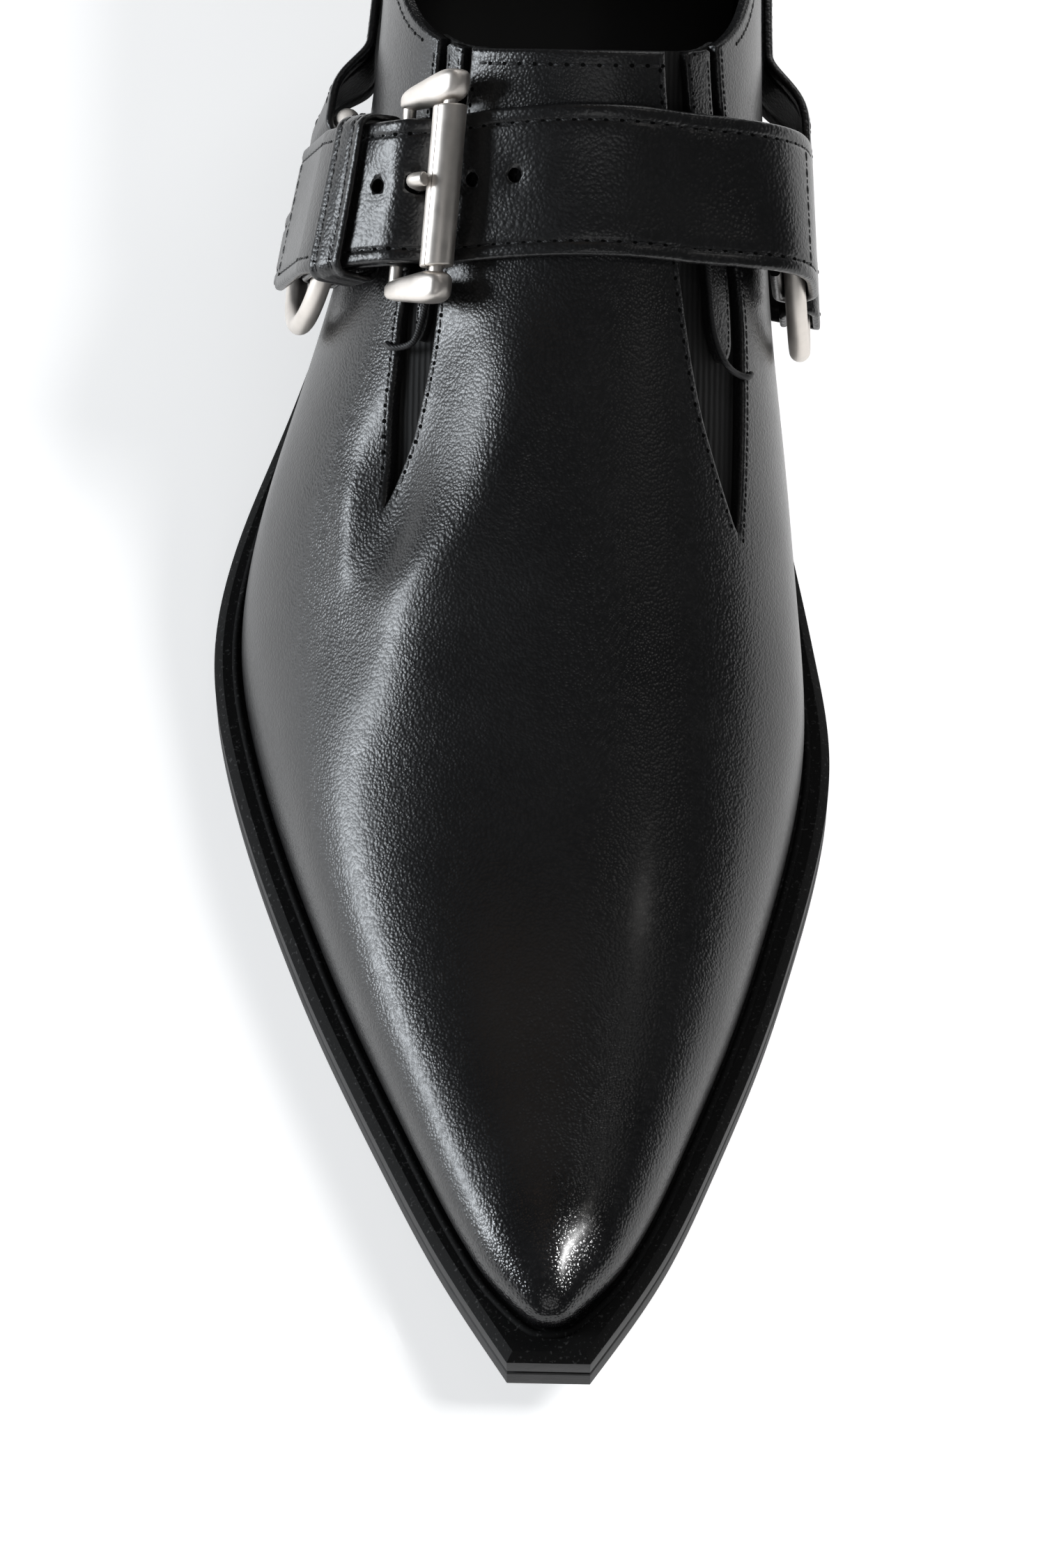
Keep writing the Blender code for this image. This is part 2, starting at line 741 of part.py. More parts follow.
def add_instep_strap():
    """From the inner ring over the instep, under the roller, through the keeper, over the outer ring."""
    b = np.linspace(-STRAP_WIDE / 2, STRAP_WIDE / 2, 5)
    up = RINGS[INNER][2]
    path, height = fold_path(STRAP_WIDE, STRAP_THICK, STRAP_RETURN)
    rows = list(ring_rows(INNER, up, TO_TOE, path, b))
    reach = np.linspace(*STRAP_JOIN, 8)
    ring = ring_rows(INNER, up, TO_TOE, [(d, height) for d in reach], b)
    first = RING_LIFT[INNER] + height
    lift = first + (STRAP_LIE - first) * eased(np.linspace(0, 1, len(reach)))
    surface = np.array([strap_point(RING_AT[INNER] - d, b, h) for d, h in zip(reach, lift)])
    rows += list(join_rows(ring, surface))
    start = STRAP_JOIN[1] - RING_AT[INNER] + STRAP_STEP
    run = list(np.arange(start, ROLLER_AT, STRAP_STEP)) + list(np.arange(ROLLER_AT, TURN_TO, STRAP_STEP / 2))
    rows += [turned_row(a, b, layer(a, 1)) for a in run]
    over = RING_WIRE + GAP + BILLET_THICK + GAP + STRAP_THICK / 2
    up = RINGS[OUTER][2]
    tail = np.linspace(TURN_TO + STRAP_STEP / 3, STRAP_END, 7)
    rows += list(ring_rows(OUTER, up, TO_TOE, [(RING_AT[OUTER] - a, over) for a in tail], b))
    strap = ribbon("instep_strap", rows, STRAP_THICK, LEATHER)
    for i, a in enumerate(HOLES + (PRONG_AT,)):
        radius = PRONG_HOLE if a == PRONG_AT else HOLE_RADIUS
        reach = HOLE_CUT * STRAP_THICK
        low, high = (strap_point(-a, HOLE_SIDE, layer(a, 1) + way * reach) for way in (-1, 1))
        cut(strap, add_cutter(f"hole_{i}", rod_mesh(low, high, radius, 8)))


def add_billet():
    """Flat loop of leather that holds the outer ring and the buckle's bar."""
    b = np.linspace(-STRAP_WIDE / 2, STRAP_WIDE / 2, 5)
    up = RINGS[OUTER][2]
    path, height = fold_path(STRAP_WIDE, BILLET_THICK, FOLD_LEG)
    under = np.linspace(BAR_AT + 4.0, TURN_TO, 5)
    rows = [turned_row(a, b, layer(a, 3)) for a in under]
    rows += list(ring_rows(OUTER, up, TO_TOE, path[1:], b))
    rows += list(ring_rows(OUTER, up, TO_TOE, [(BILLET_LEAVE, height), (RING_RADIUS, height)], b))
    over = np.linspace(TURN_TO - 1.5, BAR_AT + 1.0, 6)
    rows += [turned_row(a, b, layer(a, 2)) for a in over]
    radius = BAR_RADIUS + GAP + BAR_SLACK + BILLET_THICK / 2
    for turn in np.linspace(math.pi / 2, -math.pi / 2, 7):
        a = BAR_AT - radius * math.cos(turn)
        rows.append(strap_point(-a, b, BAR_LIFT + radius * math.sin(turn)))
    rows.append(strap_point(-(BAR_AT + 2.5), b, BAR_LIFT - radius))
    billet = ribbon("buckle_billet", rows, BILLET_THICK, LEATHER)
    low = strap_point(-(BAR_AT - 4.0), HOLE_SIDE, BAR_LIFT)
    high = strap_point(-(BAR_AT + 2.0), HOLE_SIDE, BAR_LIFT + 2.2)
    cut(billet, add_cutter("prong_slot", rod_mesh(low, high, 2 * PRONG_RADIUS, 8)))


def add_keeper():
    """Leather loop round the strap and the billet."""
    slack, corner = 2 * GAP + KEEPER_THICK / 2, KEEPER_CORNER
    half = STRAP_WIDE / 2 + slack
    rows = []
    for a in (KEEPER_AT - KEEPER_WIDE / 2, KEEPER_AT, KEEPER_AT + KEEPER_WIDE / 2):
        low = KEEPER_LIE
        high = layer(a, 1) + STRAP_THICK / 2 + slack
        loop = []
        for cb, ch, first in ((1, 1, 0), (-1, 1, 1), (-1, -1, 2), (1, -1, 3)):
            for turn in np.linspace(first, first + 1, 4) * math.pi / 2:
                mid_b = cb * (half - corner)
                mid_h = high - corner if ch > 0 else low + corner
                loop.append((mid_b + corner * math.cos(turn), mid_h + corner * math.sin(turn)))
            if first in (0, 2):
                loop.append((0.0, high if ch > 0 else low))
        rows.append([turned_row(a, b, h) for b, h in loop])
    middle = np.swapaxes(np.array(rows), 0, 1)
    around = np.roll(middle, -1, 0) - np.roll(middle, 1, 0)
    normal = unit(np.cross(around, np.gradient(middle, axis=1)))
    sheets = [middle - normal * KEEPER_THICK / 2, middle + normal * KEEPER_THICK / 2]
    add_object("keeper", slab_mesh("keeper", sheets, closed=True), LEATHER)


def rod_mesh(start, end, radius, sides):
    """Cylinder between two points."""
    start, end = np.asarray(start), np.asarray(end)
    axis = unit(end - start)
    side = unit(np.cross(axis, (0.3, 0.9, 0.1)))
    other = np.cross(axis, side)
    work = bmesh.new()
    length = float(np.linalg.norm(end - start))
    bmesh.ops.create_cone(work, cap_ends=True, segments=sides, radius1=radius, radius2=radius, depth=length)
    return placed_mesh("rod", work, (side, other, axis), (start + end) / 2)


def placed_mesh(name, work, axes, centre):
    """Mesh in metres from a bmesh in millimetres, set on three axes at a point."""
    frame = np.eye(4)
    frame[:3, :3] = np.transpose(axes)
    frame[:3, 3] = centre
    bmesh.ops.transform(work, matrix=Matrix.Scale(MM, 4) @ Matrix(frame.tolist()), verts=work.verts)
    bmesh.ops.recalc_face_normals(work, faces=work.faces)
    mesh = bpy.data.meshes.new(name)
    work.to_mesh(mesh)
    work.free()
    return mesh


def wire_mesh(name, path, radius, cyclic):
    """Round wire along a path, closed on itself or with flat ends."""
    curve = bpy.data.curves.new(name, "CURVE")
    curve.dimensions = "3D"
    curve.bevel_depth = radius * MM
    curve.bevel_resolution = 2
    curve.use_fill_caps = True
    line = curve.splines.new("POLY")
    line.points.add(len(path) - 1)
    for point, (x, y, z) in zip(line.points, np.asarray(path) * MM):
        point.co = (x, y, z, 1)
    line.use_cyclic_u = cyclic
    obj = bpy.data.objects.new(name, curve)
    CUTTERS.objects.link(obj)
    mesh = bpy.data.meshes.new_from_object(obj.evaluated_get(bpy.context.evaluated_depsgraph_get()))
    bpy.data.objects.remove(obj)
    work = bmesh.new()
    work.from_mesh(mesh)
    bmesh.ops.remove_doubles(work, verts=work.verts, dist=MERGE)
    bmesh.ops.recalc_face_normals(work, faces=work.faces)
    work.to_mesh(mesh)
    work.free()
    return mesh


def add_rings():
    for side in (OUTER, INNER):
        centre, normal, up = RINGS[side]
        turn = np.linspace(0, 2 * math.pi, 29)[:-1, None]
        path = centre + RING_RADIUS * (np.cos(turn) * up + np.sin(turn) * np.cross(normal, up))
        name = "ring_" + SIDE_NAME[side]
        add_object(name, wire_mesh(name, path, RING_WIRE, True), METAL)


def add_buckle():
    """Frame with two pillow arms, a roller on its axle and a prong on its bar."""
    half = STRAP_WIDE / 2
    ends = [strap_point(-ROLLER_AT, b, ROLLER_LIFT) for b in (-half, half)]
    axle = (ends[0] + ends[1]) / 2
    across = unit(ends[1] - ends[0])
    bar = (strap_point(-BAR_AT, -half, BAR_LIFT) + strap_point(-BAR_AT, half, BAR_LIFT)) / 2
    reach = float(np.linalg.norm(bar - axle))
    back = unit(bar - axle)
    over = unit(np.cross(across, back))
    over = over * np.sign(over @ (strap_point(-ROLLER_AT, 0.0, 1.0) - strap_point(-ROLLER_AT, 0.0, 0.0)))

    def crosswise(middle, reach, radius, sides):
        return rod_mesh(middle - across * reach, middle + across * reach, radius, sides)

    tube = add_object("buckle_roller", crosswise(axle, half + ROLLER_OVER, ROLLER_RADIUS, 16), METAL)
    cut(tube, add_cutter("roller_bore", crosswise(axle, STRAP_WIDE, ROLLER_BORE, 12)))

    inside = half + ARM_CLEAR
    span = inside + ARM_WIDE / 2
    frame = add_object("buckle_frame", crosswise(axle, span, AXLE_RADIUS, 10), METAL)
    parts = [crosswise(bar, span, BAR_RADIUS, 10)]
    length = reach + ARM_BACK + BAR_RADIUS + ARM_END
    for turn in (-1, 1):
        work = bmesh.new()
        bmesh.ops.create_cube(work, size=1.0)
        for vert in work.verts:
            taper = ARM_TAPER if vert.co.x > 0 else 1.0
            vert.co.x *= length
            vert.co.y = turn * (inside + (vert.co.y * turn + 0.5) * ARM_WIDE * taper)
            vert.co.z *= ARM_TALL * taper
        edges = list(work.edges)
        bmesh.ops.bevel(work, geom=edges, offset=ARM_BEVEL, segments=2, profile=0.5, affect="EDGES")
        centre = axle + back * (length / 2 - ARM_BACK)
        parts.append(placed_mesh("arm", work, (back, across, over), centre))
    for i, mesh in enumerate(parts):
        union = frame.modifiers.new(f"part_{i}", "BOOLEAN")
        union.operation = "UNION"
        union.solver = "EXACT"
        union.object = add_cutter(f"buckle_part_{i}", mesh)

    top = ROLLER_LIFT + ROLLER_RADIUS + PRONG_RADIUS + 3 * GAP
    path = [strap_point(-(ROLLER_AT + a), HOLE_SIDE, h) for a, h in PRONG + ((2.2, top - 0.2), (0.6, top))]
    add_object("buckle_prong", wire_mesh("buckle_prong", path, PRONG_RADIUS, False), METAL)


def add_heel_strap():
    """From ring to ring round the back of the heel."""
    b = np.linspace(-HEEL_STRAP_WIDE / 2, HEEL_STRAP_WIDE / 2, 4)
    lie = HEEL_STRAP_THICK / 2 + 3 * GAP
    halves = []
    for side in (OUTER, INNER):
        _, normal, _ = RINGS[side]
        reach = HEEL_RUN[side][2]
        ahead, here = (heel_point(side, d, np.zeros(1), 0.0)[0] for d in (HEEL_STRAP_SIGHT, 0.0))
        toward = ahead - here
        toward = unit(toward - normal * (toward @ normal))
        path, height = fold_path(HEEL_STRAP_WIDE, HEEL_STRAP_THICK, FOLD_LEG)
        rows = list(ring_rows(side, toward, UPWARD, path, b))
        away = np.linspace(*HEEL_STRAP_JOIN, 6)
        ring = ring_rows(side, toward, UPWARD, [(d, height) for d in away], b)
        first = RING_LIFT[side] + height
        lift = first + (lie - first) * eased(np.linspace(0, 1, len(away)))
        surface = np.array([heel_point(side, d, b, h) for d, h in zip(away, lift)])
        rows += list(join_rows(ring, surface))
        rows += [heel_point(side, d, b, lie) for d in np.linspace(away[-1], reach, 13)[1:]]
        halves.append(rows)
    rows = halves[0] + halves[1][-2::-1]
    ribbon("heel_strap", rows, HEEL_STRAP_THICK, LEATHER)


def add_arch_strap(side):
    """From a ring down to the waist of the sole, with two rivets."""
    name = SIDE_NAME[side]
    _, normal, up = RINGS[side]
    front = np.cross(normal, up)
    front = front * -np.sign(front[1])
    turn = math.radians(ARCH_STRAP_TURN)
    toward = math.cos(turn) * up + math.sin(turn) * front
    b = np.linspace(-ARCH_STRAP_WIDE / 2, ARCH_STRAP_WIDE / 2, 4)
    path, height = fold_path(ARCH_STRAP_WIDE, ARCH_STRAP_THICK, ARCH_STRAP_LEG)
    rows = list(ring_rows(side, toward, TO_TOE, path, b))
    rows += list(ring_rows(side, toward, TO_TOE, [(RING_RADIUS + 2 * RING_WIRE, height)], b))
    foot = strap_foot(side, rows[-1], toward)
    away = np.linspace(0, 1, 7)[1:, None, None]
    lines = np.array(rows[-1])[None] * (1 - away) + foot[None] * away
    rows += list(lines)
    ribbon("arch_strap_" + name, rows, ARCH_STRAP_THICK, LEATHER)
    for i, spread in enumerate((-RIVET_SPREAD, RIVET_SPREAD)):
        near, far = lines[RIVET_ROW], lines[RIVET_ROW + 1]
        share = 0.5 + spread / ARCH_STRAP_WIDE
        along = unit(far[1] - near[1])
        wide = near[-1] - near[0]
        out = unit(np.cross(along, wide))
        out = out * np.sign(out @ normal)
        wide = np.cross(out, along)
        spot = near[0] + (near[-1] - near[0]) * share + out * (ARCH_STRAP_THICK / 2 + GAP)
        work = bmesh.new()
        bmesh.ops.create_uvsphere(work, u_segments=10, v_segments=6, radius=RIVET_RADIUS)
        whole = work.verts[:] + work.edges[:] + work.faces[:]
        bmesh.ops.bisect_plane(work, geom=whole, plane_co=(0, 0, 0.01), plane_no=(0, 0, 1), clear_inner=True)
        bmesh.ops.holes_fill(work, edges=work.edges[:])
        bmesh.ops.scale(work, vec=(1, 1, RIVET_TALL / RIVET_RADIUS), verts=work.verts)
        add_object(f"rivet_{name}_{i}", placed_mesh("rivet", work, (along, wide, out), spot), METAL)


def strap_foot(side, start, toward):
    """Where an arch strap meets the welt, a gap outside the upper."""
    foot = []
    for point in start:
        s = SOLE_LENGTH / 2 - (point[1] + toward[1] * ARCH_STRAP_DROP)
        v = level(side, s, seat_z(s) + ARCH_STRAP_SEAT)
        foot.append(skin(side, column(s), v, GAP + ARCH_STRAP_THICK / 2))
    return np.array(foot)


for stale in list(bpy.data.objects):
    bpy.data.objects.remove(stale, do_unlink=True)

SHOE = make_collection(OBJECT_NAME)
CUTTERS = make_collection("cutters")
ROOT = bpy.data.objects.new("shoe_root", None)
SHOE.objects.link(ROOT)

LEATHER = make_material("black_leather", (0.012, 0.012, 0.013), 0.32)
LINING = make_material("lining", (0.01, 0.01, 0.01), 0.7)
WELT = make_material("welt_edge", (0.015, 0.015, 0.015), 0.6)
RUBBER = make_material("sole_rubber", (0.03, 0.03, 0.03), 0.7)
HEEL = make_material("heel_layers", (0.02, 0.02, 0.02), 0.55)
ELASTIC = make_material("gore_elastic", (0.01, 0.01, 0.01), 0.8)
METAL = make_material("antique_nickel", (0.62, 0.58, 0.53), 0.35, 1.0)

SIDE_NAME = {OUTER: "lateral", INNER: "medial"}
COLLAR_CUTTER = collar_cutter()
STRAP_RUN = {side: measure_strap(side) for side in (OUTER, INNER)}
HEEL_RUN = {side: measure_heel(side) for side in (OUTER, INNER)}
RINGS = {side: ring_frame(side) for side in (OUTER, INNER)}

add_sole()
add_heel()
add_insole()
add_upper()
for side_now in (OUTER, INNER):
    add_gore(side_now)
add_instep_strap()
add_billet()
add_keeper()
add_rings()
add_buckle()
add_heel_strap()
for side_now in (OUTER, INNER):
    add_arch_strap(side_now)

bpy.context.view_layer.update()
solids = [obj for obj in SHOE.objects if obj.type == "MESH"]
corners = np.array([obj.matrix_world @ vert.co for obj in solids for vert in obj.data.vertices])
middle_x, middle_y, _ = (corners.min(0) + corners.max(0)) / 2
ROOT.location = (-middle_x, -middle_y, -corners[:, 2].min())
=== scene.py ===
"""Looks of a right-foot pointed western slip-on with a buckled harness strap.

The solids stay where the frame puts them. Soft and turned pieces are made again here at a
finer step, from the same sizes: lengths are millimetres in the shoe's own frame until a
mesh is made. s runs from the back of the sole to its toe, x points to the inner side of
the foot, z is up, and side is -1 for the outer half of the shoe and +1 for the inner half.
"""
import math

import bmesh
import bpy
import numpy as np
from mathutils import Matrix


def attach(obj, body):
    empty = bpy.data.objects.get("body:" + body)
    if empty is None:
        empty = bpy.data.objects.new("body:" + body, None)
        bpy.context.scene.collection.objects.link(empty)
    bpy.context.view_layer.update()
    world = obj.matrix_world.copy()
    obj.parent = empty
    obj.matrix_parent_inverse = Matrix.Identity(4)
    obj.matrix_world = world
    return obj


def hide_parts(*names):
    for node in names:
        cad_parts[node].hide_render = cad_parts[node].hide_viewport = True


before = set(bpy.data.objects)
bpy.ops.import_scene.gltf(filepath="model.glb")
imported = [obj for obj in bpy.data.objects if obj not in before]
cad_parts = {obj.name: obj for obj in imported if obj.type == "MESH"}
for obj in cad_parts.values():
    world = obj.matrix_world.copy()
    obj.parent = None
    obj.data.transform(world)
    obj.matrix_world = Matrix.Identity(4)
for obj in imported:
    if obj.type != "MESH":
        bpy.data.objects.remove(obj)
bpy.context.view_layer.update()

MM = 0.001
GAP = 0.3
WELD = 1e-6
OUTER, INNER = -1, 1
SIDES = (OUTER, INNER)
SIDE_NAME = {OUTER: "lateral", INNER: "medial"}
TO_TOE = (0.0, -1.0, 0.0)
UPWARD = (0.0, 0.0, 1.0)

# Sole: the sizes of its solids, and the fine steps of its edge
SOLE_LENGTH = 310.0
OUTSOLE_THICK = 4.0
WELT_THICK = 4.8
WELT_BEVEL = 1.5
EDGE_GROOVE = 0.4
HEEL_ROUND = 33.0
SEAT_BACK = 1.0
HEEL_BREAST = 66.0
TOPLIFT_THICK = 7.0
HEEL_UNDERCUT = 10.0
HEEL_TAPER = 0.10
HEEL_MARGIN = 1.2
HEEL_LAYERS = 6
LAYER_GROOVE = 0.25
RIB_INSET = 1.1
RIB_TALL = 0.55
RIB_SINK = 0.15
RIM_ROUND = 0.5
LAYER_LIP = 0.012
BREAST_LEAN = 4.0
WELT_SIDE = 0.6

# Upper
UPPER_BACK = 4.0
UPPER_TIP = 304.3
TOE_ROUND = 12.0
TOE_BLUNT = 0.6
WALL = 1.8
INSOLE_THICK = 2.5
GORE_THICK = 1.0
GORE_MARGIN = 0.04
TAB_LIFT = -0.2
TAB_STATION = {OUTER: 147.0, INNER: 150.0}
TAB_ROUND = 4.0
TAB_EDGE = 0.6
TAB_FROM = 100.0
CORD_RADIUS = 0.55
JOIN_STATION = 120.0
EDGE_ROUND = 0.8
EDGE_STEPS = np.array([0.0, 0.06, 0.16, 0.32, 0.55, 0.8, 1.3])
QUARTER_ROWS = 40
VAMP_ROWS = 30
VAMP_SPAN = 40.0
THROAT_SPAN = 12.0
CROWN_LIMIT = 0.995
CORNER_FROM = 95.0
THROAT_FROM = 100.0
LEAST_OPEN = 1e-6
LEAST_WIDE = 1e-3

# Harness
STRAP_WIDE = 25.0
STRAP_THICK = 1.8
STRAP_TOP = 131.0
STRAP_SWEEP = {OUTER: 30.6, INNER: 22.4}
STRAP_LIE = 1.3
STRAP_RETURN = 14.0
STRAP_JOIN = (16.0, 42.0)
STRAP_END = 68.0
STRAP_STEP = 0.9
STRAP_EDGE = 0.75
TURN_FROM, TURN_TO = 32.0, 44.0
HOLES = (12.0, 19.6, 33.0)
HOLE_RADIUS = 1.2
HOLE_SIDE = -1.5
HOLE_CUT = 1.4
DIMPLE_DEEP = 0.45
DIMPLE_HALF = 2.2
RING_AT = {OUTER: 63.0, INNER: 56.0}
RING_LIFT = {OUTER: 4.6, INNER: 5.0}
RING_LEAN = 6.0
RING_RADIUS = 18.0
RING_WIRE = 1.8
BILLET_THICK = 1.0
BILLET_RETURN = 2.0
ROLLER_AT = 22.0
ROLLER_LIFT = 6.0
ROLLER_RADIUS = 2.8
ROLLER_BORE = 1.6
ROLLER_OVER = 0.7
ROLLER_SEAM = 0.03
ROLLER_SEAM_AT = 98.0
ROLLER_CURL = 0.09
ROLLER_CURL_STEPS = 1.2
ROLLER_LIP = 0.35
AXLE_RADIUS = 1.2
BAR_AT = 32.3
BAR_LIFT = 3.2
BAR_RADIUS = 1.1
BAR_SLACK = 0.4
ARM_WIDE = 5.8
ARM_TALL = 5.6
ARM_BACK = 3.2
ARM_CLEAR = 1.3
ARM_TAPER = 0.62
ARM_END = 1.0
ARM_SQUARE = 0.6
PRONG_AT = 27.2
PRONG_RADIUS = 1.1
PRONG_SWELL = 0.1
PRONG_HOLE = 2.5
PRONG_HOLE_SHARE = 0.72
KEEPER_AT = 38.8
KEEPER_WIDE = 5.4
KEEPER_THICK = 1.2
KEEPER_LIE = 2.2
KEEPER_CORNER = 2.3
KEEPER_EDGE = 0.8
KEEPER_GROOVE = 0.6
KEEPER_SEAM = 1.4
HEEL_STRAP_WIDE = 14.0
HEEL_STRAP_THICK = 1.5
HEEL_STRAP_BACK = 64.0
HEEL_STRAP_RETURN = 2.0
HEEL_STRAP_JOIN = (18.0, 32.0)
ARCH_STRAP_WIDE = 13.0
ARCH_STRAP_THICK = 1.4
ARCH_STRAP_TURN = 172.0
ARCH_STRAP_RETURN = 3.0
RIVET_RADIUS = 2.2
RIVET_TALL = 1.3

# Stitches
PITCH = 2.6
THREAD_RADIUS = 0.27
STITCH_SHARE = 0.66
NEEDLE_RADIUS = 0.40
SEAM_INSET = 2.5
GORE_SEAM = 1.4
COLLAR_SEAM = 2.4
TAB_SEAM = 1.1
TAB_SEAM_ROOM = 2.6
FINE_PITCH = 2.2
FINE_THREAD = 0.22
TAB_NEEDLE = 0.30
KEEPER_NEEDLE = 0.28
QUARTER_SEAM_FROM = 106.0
VAMP_SEAM_FROM = 113.0
COLLAR_SEAM_TO = 103.0
SEAM_TIP = 0.5
SEAM_PROBE = 0.2
STITCH_SLANT = 0.10
STITCH_DIVE = 0.20
STITCH_FLAT = 0.8
STITCH_SINK = 0.15
NEEDLE_SLIM = 0.85
NEEDLE_TALL = 0.07
GROOVE_DEEP = 0.22
GROOVE_HALF = 0.75

# Sole sections: s, half widths from the heel-to-toe axis
SOLE_PLAN = (
    # s, outer, inner
    (0, 33.0, 33.0),
    (35, 33.5, 33.5),
    (70, 34.5, 32.0),
    (100, 39.5, 31.5),
    (130, 49.5, 34.5),
    (150, 57.0, 39.2),
    (170, 60.2, 43.3),
    (190, 57.6, 45.6),
    (210, 52.0, 43.4),
    (230, 44.8, 38.6),
    (250, 36.6, 32.8),
    (270, 27.6, 25.8),
    (290, 18.0, 17.8),
    (310, 6.6, 6.6),
)

# Underside of the sole: heel seat, arch, flat tread, toe spring
SOLE_RISE = (
    # s, z
    (0, 37.5),
    (66, 34.0),
    (90, 26.5),
    (115, 16.0),
    (140, 6.5),
    (160, 1.4),
    (174, 0.0),
    (234, 0.0),
    (258, 2.2),
    (284, 5.8),
    (310, 10.5),
)

# How far the welt stands out from the foot of the upper
WELT_MARGIN = (
    # s, margin
    (0, 2.4),
    (70, 2.6),
    (120, 3.4),
    (165, 4.8),
    (210, 5.0),
    (310, 4.3),
)

# Crown of the last, the line along its top
CROWN = (
    # s, x, z
    (40, 0.0, 142.0),
    (62, 0.0, 137.0),
    (84, 1.0, 128.0),
    (107, 2.0, 110.5),
    (130, 3.0, 90.5),
    (160, 3.0, 73.0),
    (190, 2.5, 57.5),
    (205, 2.3, 49.6),
    (220, 2.0, 42.6),
    (235, 1.5, 37.2),
    (250, 1.0, 33.8),
    (281, 0.0, 30.2),
    (304, 0.0, 28.6),
)

# Last sections: where each one meets the crown, and how full its two sides are
LAST = (
    # s, crown s, fullness out, fullness in, swell out, swell in
    (4, 46, 3.0, 3.0, 3.0, 3.0),
    (40, 62, 3.0, 3.0, 2.5, 2.5),
    (75, 84, 2.6, 2.8, 1.5, 3.5),
    (105, 107, 2.0, 2.6, 1.0, 5.0),
    (130, 130, 1.8, 2.5, 1.5, 5.0),
    (160, 160, 1.75, 2.3, 1.0, 3.2),
    (190, 190, 1.85, 2.1, 0.5, 1.2),
    (220, 220, 2.6, 2.15, 1.0, 1.0),
    (250, 249, 3.3, 2.3, 1.0, 1.0),
    (280, 272, 3.2, 2.5, 1.0, 1.0),
    (304.3, 283, 2.8, 2.8, 1.0, 1.0),
)

# Collar as seen from the side, from the back to the throat
COLLAR = (
    # s, z
    (-12, 101.0),
    (20, 94.0),
    (45, 89.5),
    (72, 88.5),
    (95, 91.5),
    (108, 96.5),
    (116, 105.0),
)

# V-shaped cut-outs beside the tongue, from the collar to their tips
GORE = {
    OUTER: (
        # s, v of the quarter's edge, v of the vamp's edge
        (92, 0.600, 0.705),
        (110, 0.592, 0.690),
        (125, 0.585, 0.672),
        (141, 0.583, 0.662),
        (151, 0.590, 0.656),
        (160, 0.587, 0.638),
        (166, 0.582, 0.604),
        (171, 0.576, 0.576),
    ),
    INNER: (
        (92, 0.580, 0.770),
        (110, 0.560, 0.770),
        (125, 0.525, 0.755),
        (140, 0.502, 0.738),
        (150, 0.515, 0.714),
        (159, 0.528, 0.679),
        (167, 0.540, 0.624),
        (175, 0.553, 0.553),
    ),
}

# Tabs on the gores: shares of the way from the vamp's edge to the quarter's
TAB = {
    OUTER: ((92, 0.25, 0.92), (120, 0.22, 0.70), (147, 0.24, 0.60)),
    INNER: ((92, 0.30, 0.92), (120, 0.38, 0.84), (150, 0.42, 0.80)),
}

# Prong from the buckle's bar up through the strap
PRONG = (
    # a beyond the roller, height
    (8.6, 3.6),
    (5.7, 4.5),
    (4.7, 6.6),
    (3.6, 9.1),
)

# Layers of the strap beyond the roller, as heights of their middles over the upper
LAYERS = (
    # a, strap, billet over, billet under
    (22.0, 1.3, 5.5, 1.0),
    (24.5, 2.1, 5.5, 1.0),
    (30.0, 7.3, 5.5, 1.0),
    (32.3, 7.8, 5.5, 1.0),
    (34.6, 8.3, 6.2, 3.6),
    (40.0, 9.4, 7.3, 3.8),
    (44.0, 10.5, 8.5, 3.4),
)

# Creases of the upper: soft ridges and troughs along lines on the last
CREASES = (
    # side, half width, height, then s and v along the line
    (OUTER, 7.0, 1.7, ((150, 0.845), (157, 0.840), (164, 0.835), (175.5, 0.786), (182, 0.700),
                       (185, 0.610))),
    (OUTER, 8.0, 1.0, ((183, 0.735), (191, 0.720), (199.5, 0.675), (203, 0.590))),
    (OUTER, 6.5, -1.2, ((143.5, 0.668), (152, 0.664), (158, 0.653), (164, 0.638), (170, 0.626))),
    (OUTER, 6.2, -1.8, ((161, 0.598), (168, 0.600), (175, 0.597), (180, 0.580))),
    (OUTER, 2.6, 0.35, ((164, 0.510), (172, 0.506), (180, 0.494))),
    (OUTER, 7.0, 0.7, ((186, 0.620), (191, 0.622), (197, 0.615))),
    (INNER, 8.0, -3.0, ((300, 0.500), (304, 0.500))),
)


def knots(rows, column):
    """Positions, values, steps and slopes of one column of a table against its first column."""
    table = np.array(rows, float)
    x, y = table[:, 0], table[:, column]
    h = np.diff(x)
    return x, y, h, np.diff(y) / h


def bracket(x, q):
    """Values held within a table's range, and the interval that each one falls in."""
    q = np.clip(q, x[0], x[-1])
    return q, np.clip(np.searchsorted(x, q) - 1, 0, len(x) - 2)


def spline(rows, column):
    """Natural cubic through one column of a table, as a function of its first column."""
    x, y, h, slope = knots(rows, column)
    system = np.eye(len(x))
    right = np.zeros(len(x))
    for i in range(1, len(x) - 1):
        system[i, i - 1:i + 2] = h[i - 1], 2 * (h[i - 1] + h[i]), h[i]
        right[i] = 6 * (slope[i] - slope[i - 1])
    bend = np.linalg.solve(system, right)

    def at(q):
        q, i = bracket(x, q)
        a, b = x[i + 1] - q, q - x[i]
        curve = (bend[i] * a ** 3 + bend[i + 1] * b ** 3) / (6 * h[i])
        start = (y[i] / h[i] - bend[i] * h[i] / 6) * a
        return curve + start + (y[i + 1] / h[i] - bend[i + 1] * h[i] / 6) * b

    return at


